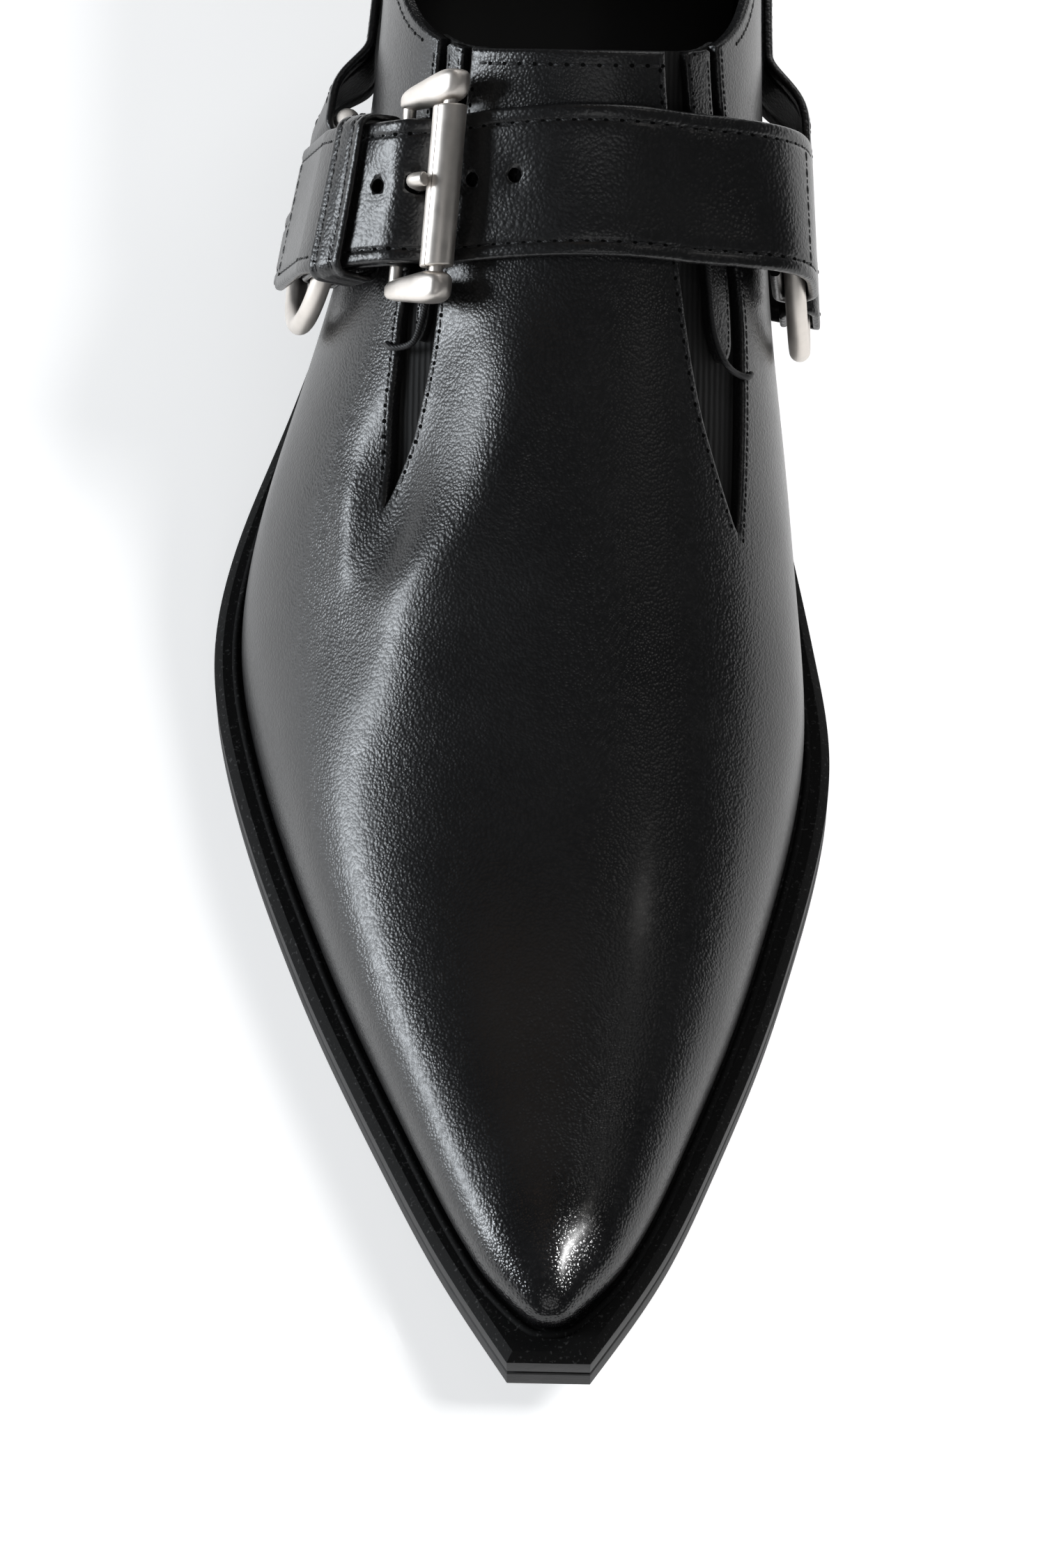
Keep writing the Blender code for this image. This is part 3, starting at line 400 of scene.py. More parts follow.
def monotone(rows, column):
    """Cubic through one column that keeps level stretches level."""
    x, y, h, slope = knots(rows, column)
    tangent = np.zeros(len(x))
    tangent[0], tangent[-1] = slope[0], slope[-1]
    for i in range(1, len(x) - 1):
        if slope[i - 1] * slope[i] > 0:
            near, far = 2 * h[i] + h[i - 1], h[i] + 2 * h[i - 1]
            tangent[i] = (near + far) / (near / slope[i - 1] + far / slope[i])

    def at(q):
        q, i = bracket(x, q)
        t = (q - x[i]) / h[i]
        start = (1 + 2 * t) * (1 - t) ** 2 * y[i] + t * (1 - t) ** 2 * h[i] * tangent[i]
        return start + t * t * (3 - 2 * t) * y[i + 1] + t * t * (t - 1) * h[i] * tangent[i + 1]

    return at


sole_half = {OUTER: spline(SOLE_PLAN, 1), INNER: spline(SOLE_PLAN, 2)}
sole_rise = monotone(SOLE_RISE, 1)
welt_margin = monotone(WELT_MARGIN, 1)
crown_x = spline(CROWN, 1)
crown_z = spline(CROWN, 2)
crown_s = spline(LAST, 1)
fullness = {OUTER: spline(LAST, 2), INNER: spline(LAST, 3)}
swell = {OUTER: spline(LAST, 4), INNER: spline(LAST, 5)}
collar_z = monotone(COLLAR, 1)
gore_quarter = {side: monotone(GORE[side], 1) for side in GORE}
gore_vamp = {side: monotone(GORE[side], 2) for side in GORE}
layer_lines = [monotone(LAYERS, i) for i in (1, 2, 3)]


def place(x, s, z):
    """Point in the shoe's frame from its width, station and height."""
    return np.stack(np.broadcast_arrays(x, SOLE_LENGTH / 2 - s, z), -1).astype(float)


def half_width(side, s, margin):
    """Half width of the sole's outline, drawn in by a margin square to the edge."""
    step = 0.5
    lean = (sole_half[side](s + step) - sole_half[side](s - step)) / (2 * step)
    return sole_half[side](s) - margin * np.sqrt(1 + lean ** 2)


def run_stations(back, front, heel_round, toe_round, heel_steps, steps, toe_steps, blunt=1.0):
    """Stations and closing factors along an outline with a round heel and maybe a round toe."""
    turn = np.linspace(0, math.pi / 2, heel_steps + 1)
    s = list(back + heel_round * (1 - np.cos(turn)))
    k = list(np.sin(turn))
    s += list(np.linspace(back + heel_round, front - toe_round, steps + 1)[1:])
    k += [1.0] * steps
    if toe_round:
        turn = np.linspace(math.pi / 2, 0, toe_steps + 1)[1:]
        s += list(front - toe_round * (1 - np.cos(turn)))
        k += list(np.sin(turn) ** blunt)
    return np.array(s), np.array(k)


# Column coordinate of the upper: 0 at the back of the heel, 1 at the tip of the toe
HEEL_ARC = HEEL_ROUND * math.pi / 2
TOE_ARC = TOE_ROUND * math.pi / 2
MIDDLE = UPPER_TIP - TOE_ROUND - UPPER_BACK - HEEL_ROUND
GIRTH = HEEL_ARC + MIDDLE + TOE_ARC


def station(u):
    """Station of a column on the upper's foot, and its closing factor."""
    run = np.clip(u, 0, 1) * GIRTH
    heel = np.clip(run / HEEL_ROUND, 0, math.pi / 2)
    toe = np.clip((GIRTH - run) / TOE_ROUND, 0, math.pi / 2)
    middle = np.clip(run - HEEL_ARC, 0, MIDDLE)
    s = UPPER_BACK + HEEL_ROUND * (1 - np.cos(heel)) + middle + TOE_ROUND * np.cos(toe)
    return s, np.sin(heel) * np.sin(toe) ** TOE_BLUNT


def column(s):
    """Column coordinate of a station between the round heel and the round toe."""
    return (HEEL_ARC + s - UPPER_BACK - HEEL_ROUND) / GIRTH


def seat_z(s):
    """Top of the welt, where the upper stands."""
    return sole_rise(s) + OUTSOLE_THICK + GAP + WELT_THICK


def last(side, u, v):
    """Outer face of the upper: v is 0 at its foot and 1 at the crown of the section."""
    s, close = station(u)
    top_s = crown_s(s)
    top_x = crown_x(top_s)
    foot_x = side * half_width(side, s, welt_margin(s)) * close
    full = fullness[side](s)
    rise = np.sin(np.clip(v, 0, 1) * math.pi / 2) ** (2 / full)
    reach = np.clip(1 - rise ** full, 0, 1) ** (1 / full)
    out_x, out_s = foot_x - top_x, s - top_s
    reach = reach + swell[side](s) * 4 * rise * (1 - rise) / np.hypot(out_x, out_s)
    foot_z = seat_z(s) + GAP
    at_s = top_s + out_s * reach
    return place(top_x + out_x * reach, at_s, foot_z + (crown_z(at_s) - foot_z) * rise)


def level(side, s, z):
    """v coordinate on column s at height z, where the section stands square to the floor."""
    foot_z = seat_z(s) + GAP
    rise = np.clip((z - foot_z) / (crown_z(crown_s(s)) - foot_z), 0, 1)
    return np.arcsin(rise ** (fullness[side](s) / 2)) * 2 / math.pi


def unit(a):
    """Vectors of length 1."""
    return a / np.linalg.norm(a, axis=-1, keepdims=True)


def outward(side, u, v):
    """Unit normal of the upper's outer face."""
    e = 1e-4
    along = last(side, u + e, v) - last(side, u - e, v)
    up = last(side, u, np.minimum(v + e, 1)) - last(side, u, np.maximum(v - e, 0))
    return unit(side * np.cross(up, along))


def skin(side, u, v, lift):
    """Point at a height over the upper's outer face."""
    return last(side, u, v) + np.asarray(lift)[..., None] * outward(side, u, v)


def girth_scale(side, u, v):
    """Millimetres of girth for a unit of v."""
    low, high = np.maximum(v - 1e-3, 0), np.minimum(v + 1e-3, 1)
    return np.linalg.norm(last(side, u, high) - last(side, u, low), axis=-1) / (high - low)


def length_scale(side, u, v):
    """Millimetres of length for a unit of u."""
    return np.linalg.norm(last(side, u + 1e-3, v) - last(side, u - 1e-3, v), axis=-1) / 2e-3


def run_length(points):
    """Length along a line up to each of its points."""
    return np.concatenate([[0], np.cumsum(np.linalg.norm(np.diff(points, axis=0), axis=1))])


def eased(t):
    """Soft step from 0 to 1."""
    t = np.clip(t, 0, 1)
    return t * t * (3 - 2 * t)


def collar_v(side, u):
    """v where the collar's cut crosses each column, or 1 where the column stays whole."""
    v = np.linspace(0, 1, 801)
    points = last(side, u[:, None], v[None, :])
    s = SOLE_LENGTH / 2 - points[..., 1]
    front_s, front_z = COLLAR[-1]
    over = points[..., 2] - np.where(s <= front_s, collar_z(s), front_z + s - front_s)
    first = np.argmax(over > 0, 1)
    rows = np.arange(len(u))
    below, above = over[rows, first - 1], over[rows, first]
    cut = v[first - 1] - (v[first] - v[first - 1]) * below / (above - below)
    return np.where((over > 0).any(1), cut, 1.0)


def wrinkle(points):
    """Height that the creases add at each point of the upper: a soft blob for each step of a line."""
    lift = np.zeros(points.shape[:-1])
    t = np.linspace(0, 1, 30)
    for side, half, tall, route in CREASES:
        table = np.column_stack([np.linspace(0, 1, len(route)), np.array(route)])
        s, v = (spline(table, i)(t) for i in (1, 2))
        line = last(side, column(s), v)
        step = np.linalg.norm(np.gradient(line, axis=0), axis=1)
        away = np.linalg.norm(points[..., None, :] - line, axis=-1)
        lift += tall * (np.exp(-(away / half) ** 2) * step).sum(-1) / (half * math.sqrt(math.pi))
    return lift


def frame_shift():
    """How far the frame lies from the shoe's own axes: the toe end of the sole is square to them."""
    points = np.array([vert.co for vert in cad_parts["outsole"].data.vertices]) / MM
    toe = points[points[:, 1] < points[:, 1].min() + 0.01]
    middle_x = (toe[:, 0].min() + toe[:, 0].max()) / 2
    middle_y = (points[:, 1].min() + points[:, 1].max()) / 2
    return np.array([middle_x, middle_y, 0.0])


SHIFT = frame_shift()


# Finishes
def grey(level):
    """Colour of one grey level."""
    return (level,) * 3


class Finish:
    """Procedural material round one Principled shader."""

    def __init__(self, name, colour, roughness, metallic=0.0, **uniform):
        self.material = bpy.data.materials.new(name)
        self.material.use_nodes = True
        self.tree = self.material.node_tree
        self.shader = self.tree.nodes["Principled BSDF"]
        self.set(Base_Color=(*colour, 1.0), Roughness=roughness, Metallic=metallic, **uniform)
        self.place = self.node("ShaderNodeTexCoord").outputs["Object"]
        self.height = None

    def set(self, **values):
        """Sets sockets of the shader."""
        for key, value in values.items():
            self.shader.inputs[key.replace("_", " ")].default_value = value

    def node(self, kind, settings=(), **inputs):
        """New node with its settings, and its sockets set or linked."""
        made = self.tree.nodes.new(kind)
        for key, value in dict(settings).items():
            setattr(made, key, value)
        for key, value in inputs.items():
            socket = made.inputs[key.replace("_", " ")]
            if isinstance(value, bpy.types.NodeSocket):
                self.tree.links.new(value, socket)
            else:
                socket.default_value = value
        return made

    def stretched(self, scale):
        """Object coordinates scaled along the three axes."""
        made = self.node("ShaderNodeMapping", Vector=self.place)
        made.inputs["Scale"].default_value = scale
        return made.outputs["Vector"]

    def noise(self, scale, detail=3.0, rough=0.55, place=None):
        """Cloudy value."""
        made = self.node("ShaderNodeTexNoise", Vector=place or self.place, Scale=scale, Detail=detail,
                         Roughness=rough)
        return made.outputs["Fac"]

    def cells(self, scale, place):
        """Distance from the middle of rounded cells, as in pebbled leather."""
        made = self.node("ShaderNodeTexVoronoi", Vector=place, Scale=scale)
        return made.outputs["Distance"]

    def ramp(self, value, *stops):
        """Colour stops, each a position and a grey level or a colour."""
        made = self.node("ShaderNodeValToRGB", Fac=value)
        points = made.color_ramp.elements
        while len(points) < len(stops):
            points.new(0.5)
        for point, (position, colour) in zip(points, stops):
            point.position = position
            shade = grey(colour) if isinstance(colour, float) else colour
            point.color = (*shade, 1.0)
        return made.outputs["Color"]

    def bump(self, value, strength, distance):
        """Adds one layer of relief, in millimetres."""
        made = self.node("ShaderNodeBump", Height=value, Strength=strength, Distance=distance * MM)
        if self.height:
            self.tree.links.new(self.height, made.inputs["Normal"])
        self.height = made.outputs["Normal"]
        self.tree.links.new(self.height, self.shader.inputs["Normal"])

    def rubbed(self, value, spot, near, far, share):
        """A value that falls to a share of itself round one point, with distances in millimetres."""
        away = self.node("ShaderNodeVectorMath", {"operation": "DISTANCE"})
        self.tree.links.new(self.place, away.inputs[0])
        away.inputs[1].default_value = tuple(spot * MM)
        fall = self.node("ShaderNodeMapRange", Value=away.outputs["Value"], From_Min=near * MM,
                         From_Max=far * MM, To_Min=share, To_Max=1.0)
        made = self.node("ShaderNodeMath", {"operation": "MULTIPLY"})
        self.tree.links.new(value, made.inputs[0])
        self.tree.links.new(fall.outputs["Result"], made.inputs[1])
        return made.outputs["Value"]

    def wave(self, direction, scale, distortion=0.0):
        """Even bands along one direction."""
        made = self.node("ShaderNodeTexWave", {"wave_type": "BANDS", "bands_direction": direction},
                         Vector=self.place, Scale=scale, Distortion=distortion)
        return made.outputs["Fac"]

    def drive(self, socket, value):
        """Links a value to one socket of the shader."""
        self.tree.links.new(value, self.shader.inputs[socket])

    def mottle(self, value, *stops):
        """Base colour that drifts between colours or greys."""
        self.drive("Base Color", self.ramp(value, *stops))


def leather(name, colour, roughness, pebble, relief, coat=0.25):
    """Smooth box-calf leather with a fine pebbled grain."""
    made = Finish(name, colour, roughness, Coat_Weight=coat, Coat_Roughness=0.22, Specular_IOR_Level=0.5)
    bent = made.node("ShaderNodeTexNoise", Vector=made.place, Scale=260.0, Detail=2.0)
    warp = made.node("ShaderNodeMix", {"data_type": "VECTOR"}, Factor=0.0012)
    made.tree.links.new(made.place, warp.inputs[4])
    made.tree.links.new(bent.outputs["Color"], warp.inputs[5])
    grain = made.cells(1000.0 / pebble, warp.outputs[1])
    made.bump(made.ramp(grain, (0.0, 1.0), (0.55, 0.35), (0.95, 0.0)), relief, 0.10)
    made.bump(made.noise(2600.0, 2.0), relief * 0.4, 0.05)
    made.bump(made.noise(90.0, 3.0), 0.10, 0.10)
    patch = made.noise(38.0, 4.0)
    low, high = roughness - 0.05, roughness + 0.07
    gloss = made.ramp(patch, (0.3, low), (0.7, high))
    made.drive("Roughness", made.rubbed(gloss, TOE_SPOT, *TOE_RUB))
    dark = tuple(c * 0.75 for c in colour)
    light = tuple(c * 1.3 for c in colour)
    made.mottle(grain, (0.1, light), (0.8, dark))
    return made.material


def lining_leather():
    """Matte lining."""
    made = Finish("lining", grey(0.006), 0.75)
    made.bump(made.noise(900.0, 4.0), 0.3, 0.1)
    made.mottle(made.noise(60.0), (0.3, 0.005), (0.7, 0.008))
    return made.material


def elastic_cloth():
    """Ribbed elastic: fine cords along the foot."""
    made = Finish("gore_elastic", grey(0.008), 0.85)
    ribs = made.wave("X", 330.0, 0.6)
    made.bump(ribs, 0.7, 0.25)
    made.bump(made.noise(1500.0), 0.4, 0.1)
    made.mottle(ribs, (0.0, 0.004), (1.0, 0.014))
    return made.material


def welt_finish():
    """Matte edge-dyed leather with fine specks of dust."""
    made = Finish("welt_matte", grey(0.004), 0.72, Specular_IOR_Level=0.16)
    made.bump(made.noise(1400.0, 4.0, 0.7), 0.5, 0.12)
    made.mottle(made.noise(1700.0, 1.0), (0.62, 0.004), (0.78, 0.05))
    return made.material


def edge_rubber():
    """Sole edge: dense rubber, sanded, a little lighter than the leather."""
    made = Finish("sole_edge", grey(0.016), 0.60, Specular_IOR_Level=0.35)
    made.bump(made.noise(1100.0, 5.0, 0.7), 0.5, 0.12)
    made.bump(made.noise(240.0, 3.0, place=made.stretched((1.0, 1.0, 8.0))), 0.25, 0.15)
    made.mottle(made.noise(320.0, 5.0), (0.3, 0.011), (0.75, (0.022, 0.021, 0.022)))
    return made.material


def heel_finish():
    """Stained layers with streaks along them."""
    made = Finish("heel_layers", (0.014, 0.013, 0.013), 0.45, Coat_Weight=0.2, Coat_Roughness=0.3)
    streaks = made.noise(120.0, 5.0, place=made.stretched((1.0, 1.0, 14.0)))
    made.bump(streaks, 0.3, 0.15)
    made.mottle(streaks, (0.3, 0.010), (0.7, (0.022, 0.021, 0.020)))
    return made.material


def antique_nickel():
    """Tumbled nickel: soft gloss, faint scratches and a cloudy tone that drifts darker and lighter."""
    made = Finish("antique_nickel", (0.78, 0.73, 0.68), 0.46, 1.0)
    fine = made.noise(900.0, 4.0, 0.7)
    made.bump(fine, 0.22, 0.05)
    cloud = made.noise(150.0, 4.0, 0.6)
    made.drive("Roughness", made.ramp(cloud, (0.3, 0.40), (0.75, 0.54)))
    made.mottle(cloud, (0.25, (0.66, 0.62, 0.575)), (0.6, (0.82, 0.77, 0.72)))
    return made.material


def thread_finish():
    """Waxed black thread with its twist."""
    made = Finish("thread", (0.007, 0.007, 0.008), 0.55)
    made.bump(made.wave("DIAGONAL", 900.0), 0.5, 0.08)
    made.mottle(made.noise(500.0), (0.3, (0.005, 0.005, 0.006)), (0.7, (0.012, 0.012, 0.013)))
    return made.material


def hole_shade_finish():
    """Painted shade: the near-black inside of a pinhole."""
    made = Finish("needle_hole_shade", grey(0.001), 0.9, Specular_IOR_Level=0.1)
    made.mottle(made.noise(700.0), (0.3, 0.0005), (0.7, 0.002))
    return made.material


BLACK = (0.0080, 0.0078, 0.0083)
TOE_SPOT = last(INNER, 1.0, 0.66) + SHIFT
GLINT_SPOT = last(INNER, 0.985, 0.66) + SHIFT
# Polish round the toe's spot: where it is full, where it ends, and its share of the roughness
TOE_RUB = (6.0, 20.0, 0.6)
VAMP_LEATHER = leather("vamp_leather", BLACK, 0.32, 0.52, 0.80)
STRAP_LEATHER = leather("strap_leather", BLACK, 0.33, 0.64, 0.75)
LINING = lining_leather()
ELASTIC = elastic_cloth()
WELT = welt_finish()
RUBBER = edge_rubber()
HEEL = heel_finish()
NICKEL = antique_nickel()
THREAD = thread_finish()
# Near-black material of painted shade for the needle holes
NEEDLE_SHADE = hole_shade_finish()


# Meshes
def mesh_object(name, points, faces, materials, kinds=None, sharp=42.0):
    """Welded object with outward faces from millimetre points in the shoe's own frame."""
    mesh = bpy.data.meshes.new(name)
    co = (np.asarray(points, float).reshape(-1, 3) + SHIFT) * MM
    mesh.from_pydata(co.tolist(), [], [list(map(int, face)) for face in faces])
    for material in materials:
        mesh.materials.append(material)
    if kinds is not None:
        mesh.polygons.foreach_set("material_index", np.asarray(kinds, np.int32))
    work = bmesh.new()
    work.from_mesh(mesh)
    bmesh.ops.remove_doubles(work, verts=work.verts, dist=WELD)
    bmesh.ops.dissolve_degenerate(work, edges=work.edges, dist=WELD)
    bmesh.ops.recalc_face_normals(work, faces=work.faces)
    work.to_mesh(mesh)
    work.free()
    mesh.shade_smooth()
    mesh.set_sharp_from_angle(angle=math.radians(sharp))
    obj = bpy.data.objects.new(name, mesh)
    bpy.context.scene.collection.objects.link(obj)
    return obj


def settle(obj, slot, *nodes):
    """A finished piece of the shoe: it rides on the body and may stand for solids."""
    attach(obj, "root")
    if nodes:
        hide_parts(*nodes)
    return obj


def add_piece(name, shape, material, slot, *nodes, sharp=42.0):
    """Finished piece of one material from its points and faces."""
    return settle(mesh_object(name, *shape, [material], sharp=sharp), slot, *nodes)


def grid_faces(index):
    """Four-sided faces between the rows and columns of a grid of vertex numbers."""
    return np.stack([index[:-1, :-1], index[1:, :-1], index[1:, 1:], index[:-1, 1:]], -1).reshape(-1, 4)


def around(sides):
    """Even angles round a circle."""
    return np.linspace(0, 2 * math.pi, sides, endpoint=False)


def ring_index(rows, sides):
    """Vertex numbers of stacked rings, with the first column again after the last."""
    index = np.arange(rows * sides).reshape(rows, sides)
    return np.concatenate([index, index[:, :1]], 1)


def capped(index):
    """Faces of stacked rings with a flat face at both ends."""
    return grid_faces(index).tolist() + [index[0, :-1].tolist(), index[-1, :-1].tolist()]


def slab(sheets, closed=False):
    """Points and faces of a closed solid between a bottom and a top sheet [row][column]."""
    low, high = np.asarray(sheets, float)
    if closed:
        low, high = np.concatenate([low, low[:1]]), np.concatenate([high, high[:1]])
    rows, columns = low.shape[:2]
    bottom = np.arange(rows * columns).reshape(rows, columns)
    top = bottom + rows * columns
    faces = [grid_faces(bottom), grid_faces(top)[:, ::-1]]
    for j in (0, -1):
        faces.append(grid_faces(np.stack([bottom[:, j], top[:, j]], 1)))
    if not closed:
        for i in (0, -1):
            faces.append(grid_faces(np.stack([bottom[i], top[i]], 1)))
    return np.concatenate([low.reshape(-1, 3), high.reshape(-1, 3)]), np.concatenate(faces)


def tube(path, radius, sides=14, closed=False):
    """Points and faces of a round rod along a path, with flat ends or closed on itself."""
    path = np.asarray(path, float)
    count = len(path)
    if closed:
        along = unit(np.roll(path, -1, 0) - np.roll(path, 1, 0))
    else:
        along = unit(np.gradient(path, axis=0))
    side = np.cross(along[0], (0.31, 0.87, 0.38))
    sides_at = []
    for t in along:
        side = unit(side - t * (side @ t))
        sides_at.append(side)
    side = np.array(sides_at)
    other = np.cross(along, side)
    turn = around(sides)
    radius = np.broadcast_to(radius, count)[:, None, None]
    ring = np.cos(turn)[None, :, None] * side[:, None] + np.sin(turn)[None, :, None] * other[:, None]
    points = path[:, None] + radius * ring
    index = ring_index(count, sides)
    if closed:
        return points.reshape(-1, 3), grid_faces(np.concatenate([index, index[:1]])).tolist()
    return points.reshape(-1, 3), capped(index)


def rounded_tube(path, radius, sides=14, cap=0.35):
    """Rod whose two ends are eased over a short length."""
    path = np.asarray(path, float)
    turn = np.linspace(0, math.pi / 2, 5)
    ends = []
    for end, inward in ((path[0], path[1]), (path[-1], path[-2])):
        way = unit(inward - end)
        spots = [end + way * cap * (1 - math.sin(t)) for t in turn]
        ends.append((spots, [radius - cap * (1 - math.cos(t)) for t in turn]))
    start, finish = ends
    line = start[0][::-1] + list(path[1:-1]) + finish[0]
    sizes = start[1][::-1] + [radius] * (len(path) - 2) + finish[1]
    return tube(line, np.array(sizes), sides)


def merged(parts):
    """One list of points and faces from several."""
    points, faces, start = [], [], 0
    for some_points, some_faces in parts:
        points.append(np.asarray(some_points, float).reshape(-1, 3))
        faces += [[int(i) + start for i in face] for face in some_faces]
        start += len(points[-1])
    return np.concatenate(points), faces


def smooth_path(points, count):
    """Even points along a soft curve through a few given ones."""
    points = np.asarray(points, float)
    run = run_length(points)
    table = np.column_stack([run, points])
    at = np.linspace(0, run[-1], count)
    return np.stack([spline(table, i)(at) for i in (1, 2, 3)], 1)


# Stitches: each seam is a line of points with the surface's normals
def seam(points, normals, pitch=PITCH):
    """Places, directions and normals of even stitches along a line, and their true pitch."""
    run = run_length(points)
    count = max(int(run[-1] / pitch), 1)
    at = (np.arange(count) + 0.5) * run[-1] / count

    def sampled(values, spots):
        """Values along the line at some lengths."""
        return np.stack([np.interp(spots, run, values[:, i]) for i in range(3)], 1)

    up = unit(sampled(normals, at))
    along = unit(sampled(points, at + SEAM_PROBE) - sampled(points, at - SEAM_PROBE))
    along = unit(along - up * (along * up).sum(1, keepdims=True))
    return sampled(points, at), along, up, run[-1] / count


def stitch_template(sides=6):
    """Unit stitch along x: a thread that rises from one hole and dives into the next."""
    rings = ((-0.98, 0.55), (-0.75, 0.9), (-0.25, 1.0), (0.25, 1.0), (0.75, 0.9), (0.98, 0.55))
    points = [(x, r * math.cos(t), r * math.sin(t)) for x, r in rings for t in around(sides)]
    return np.array(points), capped(ring_index(len(rings), sides))


def needle_template(sides=8):
    """Unit pinhole: a flat closed lens that carries the painted shade of a hole."""
    ring = [(math.cos(t), math.sin(t), 0.0) for t in around(sides)]
    faces = []
    for i in range(sides):
        n = (i + 1) % sides
        faces += [[i, n, sides], [n, i, sides + 1]]
    return np.array(ring + [(0.0, 0.0, 1.0), (0.0, 0.0, -1.0)]), faces


def add_stitches(name, seams, thread=THREAD_RADIUS, needle=NEEDLE_RADIUS):
    """All the stitches of some seams as one piece."""
    parts, kinds = [], []
    stitch, stitch_faces = stitch_template()
    hole, hole_faces = needle_template()
    dive = -STITCH_DIVE * np.abs(stitch[:, :1]) ** 4
    for spots, along, up, pitch in seams:
        slant = unit(along + STITCH_SLANT * np.cross(up, along))
        wide = np.cross(up, slant)
        half = pitch * STITCH_SHARE / 2
        for c, t, w, n, a in zip(spots, slant, wide, up, along):
            local = c + half * stitch[:, :1] * t + thread * stitch[:, 1:2] * w
            height = thread * (STITCH_FLAT * stitch[:, 2:] - STITCH_SINK) + dive
            parts.append((local + height * n, stitch_faces))
            kinds += [0] * len(stitch_faces)
            # Each hole is a near-black lens laid on the surface: painted shade, not a cut.
            disc = hole[:, :1] * a + NEEDLE_SLIM * hole[:, 1:2] * np.cross(n, a)
            parts.append((c + a * pitch / 2 + needle * disc + NEEDLE_TALL * hole[:, 2:] * n, hole_faces))
            kinds += [1] * len(hole_faces)
    points, faces = merged(parts)
    return settle(mesh_object(name, points, faces, [THREAD, NEEDLE_SHADE], kinds), "leather")


# Upper
def edge_drop(away):
    """How far a turned edge falls below the face, by the distance from it."""
    inside = np.clip(EDGE_ROUND - away, 0, EDGE_ROUND)
    return np.sqrt(np.maximum(EDGE_ROUND ** 2 - inside ** 2, 0)) - EDGE_ROUND


def front_columns():
    """Columns that quarters, vamp and toe share."""
    tips = [GORE[side][-1][0] for side in SIDES]
    toe = 1 - TOE_ARC / GIRTH
    spans = (
        np.linspace(column(JOIN_STATION), column(tips[0]), 40),
        np.linspace(column(tips[0]), column(tips[1]), 5),
        np.linspace(column(tips[1]), toe, 84),
        np.linspace(toe, 1, 20),
    )
    return np.unique(np.concatenate(spans).round(10))


def quarter_top(side, u):
    """v of the quarter's upper edge, and how far it is open there, in millimetres."""
    s = station(u)[0]
    collar = collar_v(side, u)
    gore = gore_quarter[side](s)
    gap = (gore_vamp[side](s) - gore) * girth_scale(side, u, gore)
    return np.minimum(collar, gore), np.where(collar < gore, WALL, gap)


def quarter_sheet(side, front):
    """u, v and fall of the turned edge over one quarter and the toe, and the gap of each column."""
    near = np.linspace(column(CORNER_FROM), column(JOIN_STATION), 400)
    corner = near[np.argmax(collar_v(side, near) >= gore_quarter[side](station(near)[0]))]
    heel = HEEL_ARC / GIRTH
    spans = (
        np.linspace(0, heel, 26),
        np.linspace(heel, corner, 46),
        np.linspace(corner, front[0], 14)[:-1],
        front,
    )
    u = np.unique(np.concatenate(spans).round(10))
    top, gap = quarter_top(side, u)
    scale = girth_scale(side, u, top)
    body = np.linspace(0, 1, QUARTER_ROWS)[:, None] * (top - EDGE_STEPS[-1] / scale)
    v = np.concatenate([body, top - EDGE_STEPS[-2::-1, None] / scale])
    away = (top - v) * scale
    drop = edge_drop(away) * np.clip(gap / EDGE_ROUND, 0, 1)
    return np.broadcast_to(u, v.shape), v, drop, gap


def throat_start(side, share):
    """Column where the throat's edge crosses the vamp, by the share from its gore to the crown."""
    u = np.linspace(column(THROAT_FROM), column(JOIN_STATION), 900)
    edge = gore_vamp[side](station(u)[0])
    reached = (collar_v(side, u) - edge) / (1 - edge)
    whole = np.argmax(reached >= 1.0)
    return np.interp(share, np.maximum.accumulate(reached[:whole + 1]), u[:whole + 1])


def vamp_share():
    """Shares of the way from the gore's edge to the crown, closer together at the edge."""
    close = EDGE_STEPS / VAMP_SPAN
    return np.concatenate([close, np.linspace(close[-1], 1, VAMP_ROWS)[1:]])


def vamp_sheet(side, front):
    """u, v and fall of the turned edges over half of tongue, vamp and toe, and the gap of each column."""
    share = vamp_share()
    start = throat_start(side, share)
    close = EDGE_STEPS / THROAT_SPAN
    steps = np.concatenate([close, np.linspace(close[-1], 1, 12)[1:]])
    back = start[:, None] + steps[None, :] * (front[0] - start[:, None])
    u = np.concatenate([back, np.broadcast_to(front[1:], (len(share), len(front) - 1))], 1)
    s = station(u)[0]
    edge = gore_vamp[side](s)
    v = edge + (1 - edge) * share[:, None]
    scale = girth_scale(side, u, np.minimum(v, CROWN_LIMIT))
    gap = (edge - gore_quarter[side](s)) * girth_scale(side, u, edge)
    from_gore = edge_drop((v - edge) * scale) * np.clip(gap / EDGE_ROUND, 0, 1)
    from_throat = edge_drop((u - start[:, None]) * length_scale(side, u, v))
    return u, v, np.minimum(from_gore, from_throat), gap[0]


def panel(side, u, v, drop):
    """Outer and inner points of a panel of the upper."""
    crease = wrinkle(last(side, u, v))
    return skin(side, u, v, crease + drop), skin(side, u, v, crease - WALL)


